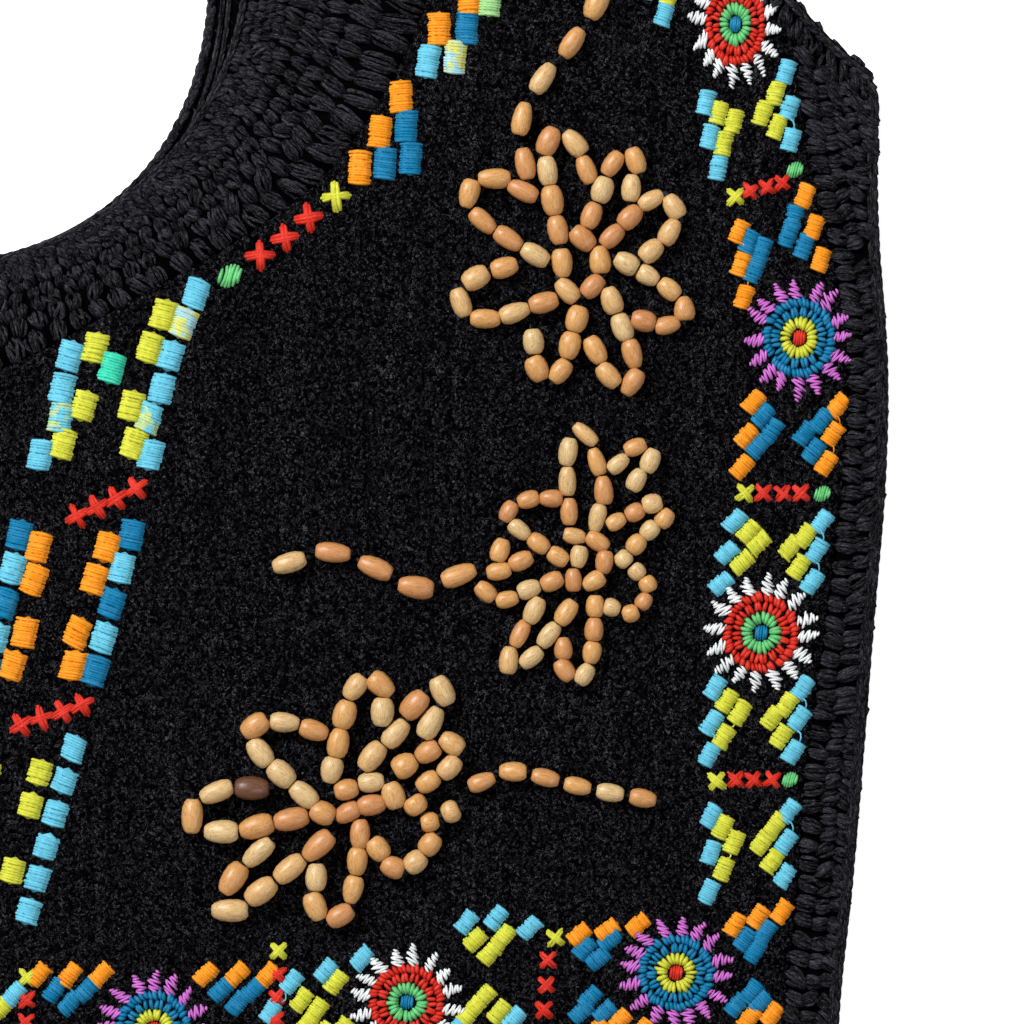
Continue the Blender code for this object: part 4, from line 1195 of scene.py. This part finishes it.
# Each group: its two colours, angle, outer blocks, inner blocks.
GROUPS = [
    (SKY, 80, [(195.4, 29.0), (196.3, 20.7), (198.3, 13.2)],
     [(198.5, 26.5), (202.2, 24.4), (199.7, 19.0)]),
    (SKY, 72, [(214.8, 36.5), (215.7, 27.8), (216.0, 20.0)],
     [(212.3, 31.4), (209.2, 26.5), (212.6, 23.1)]),
    (FLAME, 70, [(203.4, -2.3), (203.9, -10.1), (204.6, -18.1)],
     [(205.8, -4.7), (208.9, -6.7), (207.0, -11.8)]),
    (FLAME, 72, [(219.4, 6.4), (221.6, -1.1), (223.3, -9.1)],
     [(216.7, 1.3), (215.3, -3.0), (219.1, -5.9)]),
    (FLAME, 50, [(207.0, -43.5), (205.1, -51.8), (204.1, -59.3)],
     [(209.2, -46.9), (211.4, -50.5), (208.0, -54.4)]),
    (FLAME, 52, [(227.4, -44.5), (226.2, -51.3), (224.5, -58.5)],
     [(223.3, -48.1), (219.4, -51.3), (221.6, -55.4)]),
    (SKY, 43, [(202.4, -72.4), (200.5, -80.1), (199.0, -87.6)],
     [(205.8, -75.0), (208.2, -77.7), (204.1, -82.5)]),
    (SKY, 54, [(223.5, -72.6), (222.3, -79.6), (221.1, -87.1)],
     [(219.4, -76.0), (215.7, -78.9), (217.9, -83.5)]),
    (SKY, 60, [(197.6, -112.8), (196.8, -121.3), (196.1, -129.1)],
     [(200.5, -116.0), (203.6, -118.9), (199.7, -124.7)]),
    (SKY, 55, [(218.9, -112.8), (217.9, -120.4), (216.5, -128.4)],
     [(214.8, -117.0), (211.4, -120.1), (213.6, -124.7)]),
    (SKY, 66, [(196.6, -143.9), (196.6, -152.8), (196.1, -162.3)],
     [(199.5, -146.5), (202.2, -150.2), (199.7, -156.7)]),
    (SKY, 54, [(215.5, -142.7), (214.8, -150.2), (214.5, -158.4)],
     [(212.3, -146.0), (208.9, -150.4), (211.4, -154.8)]),
    (FLAME, 40, [(164.6, -172.7), (171.6, -171.5), (178.9, -170.3)],
     [(166.0, -175.9), (172.1, -173.9), (169.2, -178.5)]),
    (FLAME, 57, [(202.4, -170.3), (208.0, -168.3), (213.8, -167.1)],
     [(209.7, -172.0), (204.8, -173.9), (207.3, -176.6)]),
    (FLAME, 50, [(206.0, -192.8), (211.4, -192.1), (216.7, -191.4)],
     [(206.5, -186.5), (208.5, -189.0), (202.9, -189.7)]),
    (FLAME, 45, [(169.0, -195.7), (174.5, -193.6), (179.9, -195.7)],
     [(167.3, -188.0), (165.1, -191.4), (170.9, -191.4)]),
    (SKY, 53, [(112.0, -178.3), (103.3, -181.4), (95.0, -184.1), (89.9, -191.4)],
     [(105.7, -184.1), (97.4, -188.5), (101.1, -190.9)]),
    (SKY, 48, [(137.4, -169.6), (144.5, -168.6), (152.7, -171.0)],
     [(139.4, -173.9), (143.0, -177.1), (146.4, -173.0)]),
    (SKY, 50, [(134.8, -195.7), (140.1, -198.2), (148.8, -193.1)],
     [(141.5, -187.7), (145.2, -191.4), (137.9, -191.9)]),
    (SKY, 50, [(111.0, -199.7), (104.2, -200.8), (97.5, -199.9)],
     [(107.2, -195.4), (102.6, -196.6), (98.0, -195.0)]),
]
OUTER_TEMPLATE = [(13.2, 12.6), (13.2, 20.2), (13.2, 27.8)]
INNER_TEMPLATE = [(9.4, 16.3), (6.2, 20.4), (9.4, 24.0)]


LONGEST_TRAVEL = 4.2


def add_group(colours, angle, outer_places, inner_places, way):
    """The blocks of one group.

    A thin loose thread travels from each block to the next of its colour where it is near.
    """
    for colour, places in zip(colours, (outer_places, inner_places)):
        before = None
        for x, y in places:
            block = satin_block(colour, x, y, angle, way)
            near = before is not None and block is not None
            if near and np.linalg.norm(before[0] - block[1]) < LONGEST_TRAVEL:
                travels[colour].append((before[0], block[1]))
            before = block


def add_frame(centre, colours, turn_degrees, quarters, angle, way):
    """Four template groups round a rosette that the photograph does not show."""
    turn = math.radians(turn_degrees)
    c, s = math.cos(turn), math.sin(turn)
    for across, up in quarters:
        for colour, template in zip(colours, (OUTER_TEMPLATE, INNER_TEMPLATE)):
            for u, v in template:
                x, y = u * across, v * up
                satin_block(colour, centre[0] + c * x - s * y, centre[1] + s * x + c * y, angle, way)


ALL_QUARTERS = [(-1, 1), (1, 1), (-1, -1), (1, -1)]
for way in (1.0, -1.0):
    for group in GROUPS:
        add_group(*group, way)
    add_frame((203.1, 46.7), SKY, 32.0, [(-1, 1)], 75.0, way)
    add_frame((158.5, 121.0), FLAME, 14.0, ALL_QUARTERS, 68.0, way)
    add_frame((154.0, 193.0), SKY, 0.0, ALL_QUARTERS, 62.0, way)
    add_frame((61.5, -195.5), FLAME, 90.0, ALL_QUARTERS, 48.0, way)
add_frame((0.0, -200.3), SKY, 90.0, ALL_QUARTERS, 50.0, 1.0)

# %% [markdown]
# ### Border along the yoke and down the chest
# The same blocks step down beside the crochet yoke, cross a short row of crosses, and turn down
# the chest in a slanting band.

# %% Yoke border and chest band
YOKE_BLOCKS = [
    ("orange", 88, [(121.4, 30.4), (116.4, 21.9), (111.5, 13.2), (130.7, 46.9), (137.9, 54.4)]),
    ("deep_blue", 88, [(122.7, 23.2), (117.6, 14.4), (123.8, 15.4), (137.4, 47.0)]),
    ("light_blue", 80, [(128.0, 38.9)]),
    ("pale_mix", 86, [(134.5, 40.0)]),
    ("sea_green", 86, [(143.0, 53.9)]),
]
CHEST_START = (52.8, -35.0)
CHEST_SLANT = 0.25
CHEST_ANGLE = 74.0
CHEST_OUTER = [("light_blue", 71.8, -17.3), ("pale_mix", 68.8, -24.4), ("light_blue", 65.7, -32.4),
               ("light_blue", 63.5, -40.4), ("blue_mix", 60.4, -47.4), ("light_blue", 60.8, -56.4)]
CHEST_INNER = [("yellow", 64.0, -22.4), ("yellow", 60.6, -30.4), ("yellow", 56.2, -44.5),
               ("yellow", 56.7, -53.7), ("turquoise", 51.4, -35.4)]
CHEST_LOWER = [("deep_blue", 56.2, -75.8), ("light_blue", 53.8, -83.8), ("deep_blue", 51.4, -92.4),
               ("light_blue", 49.4, -100.6), ("deep_blue", 47.4, -108.8), ("orange", 50.2, -78.8),
               ("orange", 47.2, -86.6), ("orange", 43.0, -99.4), ("orange", 42.0, -107.4)]


def chest_axis(y):
    """The X of the chest band's middle line at this height."""
    return CHEST_START[0] + CHEST_SLANT * (y - CHEST_START[1])


for way in (1.0, -1.0):
    for colour, angle, places in YOKE_BLOCKS:
        for x, y in places:
            satin_block(colour, x, y, angle, way, stack=7.6, width=5.2)
    for colour, x, y in CHEST_OUTER + CHEST_INNER + CHEST_LOWER:
        for half in (1.0,) if colour == "turquoise" else (1.0, -1.0):
            place = chest_axis(y) + half * (x - chest_axis(y))
            satin_block(colour, place, y, CHEST_ANGLE, way, stack=6.9, width=5.6)
    for k in range(6):
        y = -127.5 - 7.9 * k
        for half in (1.0, -1.0):
            place = chest_axis(y) + half * (12.4 - 0.2 * k)
            satin_block("light_blue", place, y, CHEST_ANGLE, way, width=5.4)
            if k in (1, 2, 4):
                satin_block("yellow", place - half * 6.0, y + 2.0, CHEST_ANGLE, way, width=5.4)
print("satin threads:", sum(len(a) for laid in thread_lists.values() for a, _, _, _ in laid))

# %% [markdown]
# ### Rosettes
# A rosette is a small sun: a round dot of upright stitches, a ring of radial stitches, a body of
# two rows of short stitches with dark holes between their bunches, and sixteen tapering rays
# worked in zigzag.

# %% Rosettes
DOT_RADIUS = 1.75
RING_COUNT = 22
RING_INNER = 2.3
RING_OUTER = 4.95
RAY_COUNT = 16
RAY_START = 9.3
RAY_LENGTH = 4.2
RAY_STROKES = (1.15, 1.45, 1.5, 1.3, 1.05, 0.8, 0.5)
# Each body stitch: turn from its bunch, inner and outer radius, splay, thread width.
BODY_STITCHES = [(-0.12, 4.8, 7.3, 0.07, 1.0), (0.12, 4.8, 7.3, -0.07, 1.0),
                 (-0.17, 7.2, 9.1, 0.08, 1.15), (-0.04, 7.3, 9.3, 0.09, 1.15),
                 (0.08, 7.2, 9.1, 0.1, 1.15)]
ROSETTE_COLOURS = {"A": ("white", "red", "green", "deep_blue"),
                   "B": ("purple", "deep_blue", "yellow", "red")}
# Each rosette: kind, x, y, stretch across, stretch up.
ROSETTES = [("A", 202.5, 48.0, 0.8, 1.1), ("B", 217.9, -28.0, 0.95, 1.05),
            ("A", 208.7, -99.5, 1.0, 1.04), ("B", 188.1, -181.9, 1.0, 1.0),
            ("A", 122.9, -189.0, 1.0, 1.0), ("B", 158.5, 121.0, 1.0, 1.0),
            ("A", 154.0, 193.0, 1.0, 1.0), ("B", 61.5, -195.5, 1.0, 1.0)]


def polar(centre, radius, angle):
    return np.stack([centre[0] + radius * np.cos(angle), centre[1] + radius * np.sin(angle)], -1)


def rosette(kind, centre, stretch=(1.0, 1.0)):
    def sew(colour, a, b, width, rise):
        ends = [centre + (np.asarray(p) - centre) * stretch for p in (a, b)]
        thread_lists[colour].append((*ends, width, rise))

    rays, body, ring, dot = ROSETTE_COLOURS[kind]
    phase = dice.random() * 0.3
    offsets = np.linspace(-1.15, 1.15, 5)
    half = np.sqrt(DOT_RADIUS ** 2 - offsets ** 2)
    slope = np.stack([0.12 * half, half], 1)
    middles = centre + np.stack([offsets, 0.0 * offsets], 1)
    sew(dot, middles - slope, middles + slope, 0.72, 0.8)
    angle = 2.0 * np.pi * np.arange(RING_COUNT) / RING_COUNT + dice.normal(0.0, 0.03, RING_COUNT)
    inner = RING_INNER + dice.normal(0.0, 0.12, RING_COUNT)
    outer = RING_OUTER + dice.normal(0.0, 0.22, RING_COUNT)
    sew(ring, polar(centre, inner, angle), polar(centre, outer, angle + 0.05), 1.12, 0.9)
    bunch = 2.0 * np.pi * np.arange(RAY_COUNT) / RAY_COUNT + phase
    for off, low, high, splay, width in BODY_STITCHES:
        angle = bunch + off + dice.normal(0.0, 0.025, RAY_COUNT)
        start = polar(centre, low + dice.normal(0.0, 0.14, RAY_COUNT), angle)
        end = polar(centre, high + dice.normal(0.0, 0.2, RAY_COUNT), angle + splay)
        sew(body, start, end, width, 0.95)
    angle = bunch + math.pi / RAY_COUNT + dice.normal(0.0, 0.035, RAY_COUNT)
    zig_a = []
    zig_b = []
    for ray in angle:
        along = np.array([math.cos(ray), math.sin(ray)])
        across = np.array([-along[1], along[0]])
        reach = RAY_LENGTH * dice.normal(1.0, 0.08)
        bent = dice.normal(0.0, 0.12)
        lean = dice.normal(0.42, 0.1)
        for k, half in enumerate(RAY_STROKES):
            t = k / (len(RAY_STROKES) - 1)
            middle = centre + along * (RAY_START + reach * t) + across * (bent * reach * t * t)
            half = half * dice.normal(1.0, 0.16)
            stroke = across * half + along * ((lean + 0.16 * (-1) ** k) * half)
            zig_a.append(middle - stroke)
            zig_b.append(middle + stroke)
    sew(rays, zig_a, zig_b, 0.66, 0.6)


for way in (1.0, -1.0):
    for kind, x, y, wide, tall in ROSETTES:
        rosette(kind, np.array([way * x, y]), (wide, tall))
rosette("A", np.array([0.0, -200.3]))

# %% [markdown]
# ### Rows of crosses
# Short rows part the cells of the borders: a yellow cross, three red ones and a round green dot.
# Each arm is three strands wide.

# %% Crosses and dots
# Each row: turn in degrees, the yellow and red arms' lengths, dot radius, five places.
CROSS_ROWS = [
    (45.0, (5.6, 4.9), 1.9, [(202.4, 6.2), (206.0, 7.6), (210.2, 8.6), (213.8, 9.6), (216.9, 12.7)]),
    (45.0, (5.6, 5.2), 1.9, [(204.8, -65.6), (209.2, -65.6), (214.0, -65.6), (218.4, -65.6),
                             (223.5, -65.8)]),
    (45.0, (5.6, 5.2), 1.8, [(198.0, -135.4), (202.6, -135.1), (206.8, -135.1), (211.4, -135.1),
                             (215.7, -135.1)]),
    (50.0, (5.4, 5.4), 1.9, [(158.8, -173.4), (157.1, -178.8), (156.6, -184.8), (156.1, -190.9),
                             (155.6, -196.9)]),
    (4.0, (7.6, 7.2), 2.8, [(105.7, 6.2), (99.1, 1.1), (93.3, -3.8), (87.3, -8.1), (80.0, -13.0)]),
    (45.0, (5.4, 5.2), 1.9, [(170.0, 80.5), (174.4, 82.8), (178.8, 85.1), (183.2, 87.4), (187.4, 89.6)]),
    (45.0, (5.4, 5.2), 1.9, [(147.2, 157.0), (151.4, 157.0), (155.6, 157.0), (159.8, 157.0),
                             (164.2, 157.0)]),
    (45.0, (5.4, 5.2), 1.9, [(91.8, -176.6), (91.6, -182.2), (91.4, -187.8), (91.2, -193.4),
                             (91.0, -199.2)]),
    (45.0, (5.4, 5.2), 1.9, [(30.9, -183.0), (30.8, -188.4), (30.7, -193.8), (30.6, -199.2),
                             (30.5, -205.0)]),
]
CHEST_CROSSES = [[(57.4, -64.4), (52.6, -66.8), (47.8, -69.0), (43.0, -71.2)],
                 [(44.2, -117.0), (39.4, -118.6), (34.4, -120.2), (29.4, -121.8)]]


def cross(colour, centre, size, degrees=45.0):
    turn = math.radians(degrees + dice.normal(0.0, 5.0))
    starts = []
    ends = []
    for arm in (0.0, math.pi / 2.0):
        along = np.array([math.cos(turn + arm), math.sin(turn + arm)])
        across = np.array([-along[1], along[0]])
        for k in (-1.0, 0.0, 1.0):
            half = 0.5 * size * (1.0 - 0.12 * abs(k)) + dice.normal(0.0, 0.12)
            starts.append(np.array(centre) - along * half + across * (0.09 * size * k))
            ends.append(np.array(centre) + along * half + across * (0.07 * size * k))
    thread_lists[colour].append((np.array(starts), np.array(ends), 0.16 * size, 0.9))


def dot(colour, centre, radius=1.9):
    offsets = np.linspace(-0.8, 0.8, 6) * radius
    half = np.sqrt(radius ** 2 - offsets ** 2)
    slope = np.stack([0.3 * half, half], 1)
    middles = centre + np.stack([offsets, 0.0 * offsets], 1)
    thread_lists[colour].append((middles - slope, middles + slope, 0.37 * radius, 0.9))


for way in (1.0, -1.0):
    for degrees, (yellow_size, red_size), radius, row in CROSS_ROWS:
        places = [(way * x, y) for x, y in row]
        cross("yellow", places[0], yellow_size, degrees)
        for place in places[1:4]:
            cross("red", place, red_size, degrees)
        dot("green", places[4], radius)
    for row in CHEST_CROSSES:
        for x, y in row:
            cross("red", (way * x, y), 6.4, 30.0 if way > 0 else 60.0)

for colour, batches in thread_lists.items():
    if not batches:
        continue
    parts = [laid_threads(*batch) for batch in batches]
    if pads[colour]:
        parts.append(padding(*zip(*pads[colour])))
    if travels[colour]:
        parts.append(laid_threads(*zip(*travels[colour]), 0.4, 0.6, rings=5, bow=0.32))
    make_piece("embroidery_" + colour, parts, COTTON[colour])

# %% [markdown]
# ## The outline and the triangle count
# Both panels are cut to the same shape. The outline's X and Y are taken out, and the triangles of
# all pieces are counted.

# %% Outline and triangle count
x, y = OUTLINE[:, 0], OUTLINE[:, 1]
print("triangles in all:", sum(made.values()))

# %% [markdown]
# ## Table, light and camera
# The vest lies on a plain white table under broad, soft light, a little stronger from the upper
# left. The camera looks straight down at the wearer's left half, as the photograph does.

# %% Table
bpy.ops.mesh.primitive_plane_add(size=6.0, location=(0.0, 0.0, -0.0002))
table = bpy.context.object
table.name = "table"
table_material = bpy.data.materials.new("white_table")
table_material.use_nodes = True
shader = table_material.node_tree.nodes["Principled BSDF"]
for socket, value in {"Base Color": linear("#F4F4F4"), "Roughness": 0.85, "Specular IOR Level": 0.2,
                      "Emission Color": (1.0, 1.0, 1.0, 1.0), "Emission Strength": 0.6}.items():
    shader.inputs[socket].default_value = value
table.data.materials.append(table_material)


# %% Light
def soft_light(name, place, target, size, power):
    lamp = bpy.data.lights.new(name, "AREA")
    lamp.shape = "DISK"
    lamp.size = size
    lamp.energy = power
    item = bpy.data.objects.new(name, lamp)
    item.location = place
    item.rotation_euler = (Vector(target) - Vector(place)).to_track_quat("-Z", "Y").to_euler()
    bpy.context.collection.objects.link(item)
    return item


soft_light("key", (-0.75, 0.85, 1.15), (0.1, -0.05, 0.0), 0.45, 36.0)
soft_light("fill", (1.1, -0.6, 1.4), (0.1, -0.05, 0.0), 1.2, 9.0)
world = bpy.data.worlds.new("studio")
world.use_nodes = True
sky = world.node_tree.nodes["Background"]
sky.inputs["Color"].default_value = (1.0, 1.0, 1.0, 1.0)
sky.inputs["Strength"].default_value = 0.37
bpy.context.scene.world = world
bpy.context.scene.view_settings.view_transform = "Standard"

# %% Camera
VIEW_CENTRE = (148.35 * MM, -70.2 * MM)
VIEW_WIDTH = 248.2 * MM
CAMERA_HEIGHT = 1.2
camera_data = bpy.data.cameras.new("camera")
camera_data.sensor_width = 36.0
camera_data.lens = 36.0 * (CAMERA_HEIGHT - FRONT_TOP * MM) / VIEW_WIDTH
camera = bpy.data.objects.new("camera", camera_data)
camera.location = (VIEW_CENTRE[0], VIEW_CENTRE[1], CAMERA_HEIGHT)
bpy.context.collection.objects.link(camera)
bpy.context.scene.camera = camera
print("camera: %.0f mm lens, %.2f m up" % (camera_data.lens, CAMERA_HEIGHT))
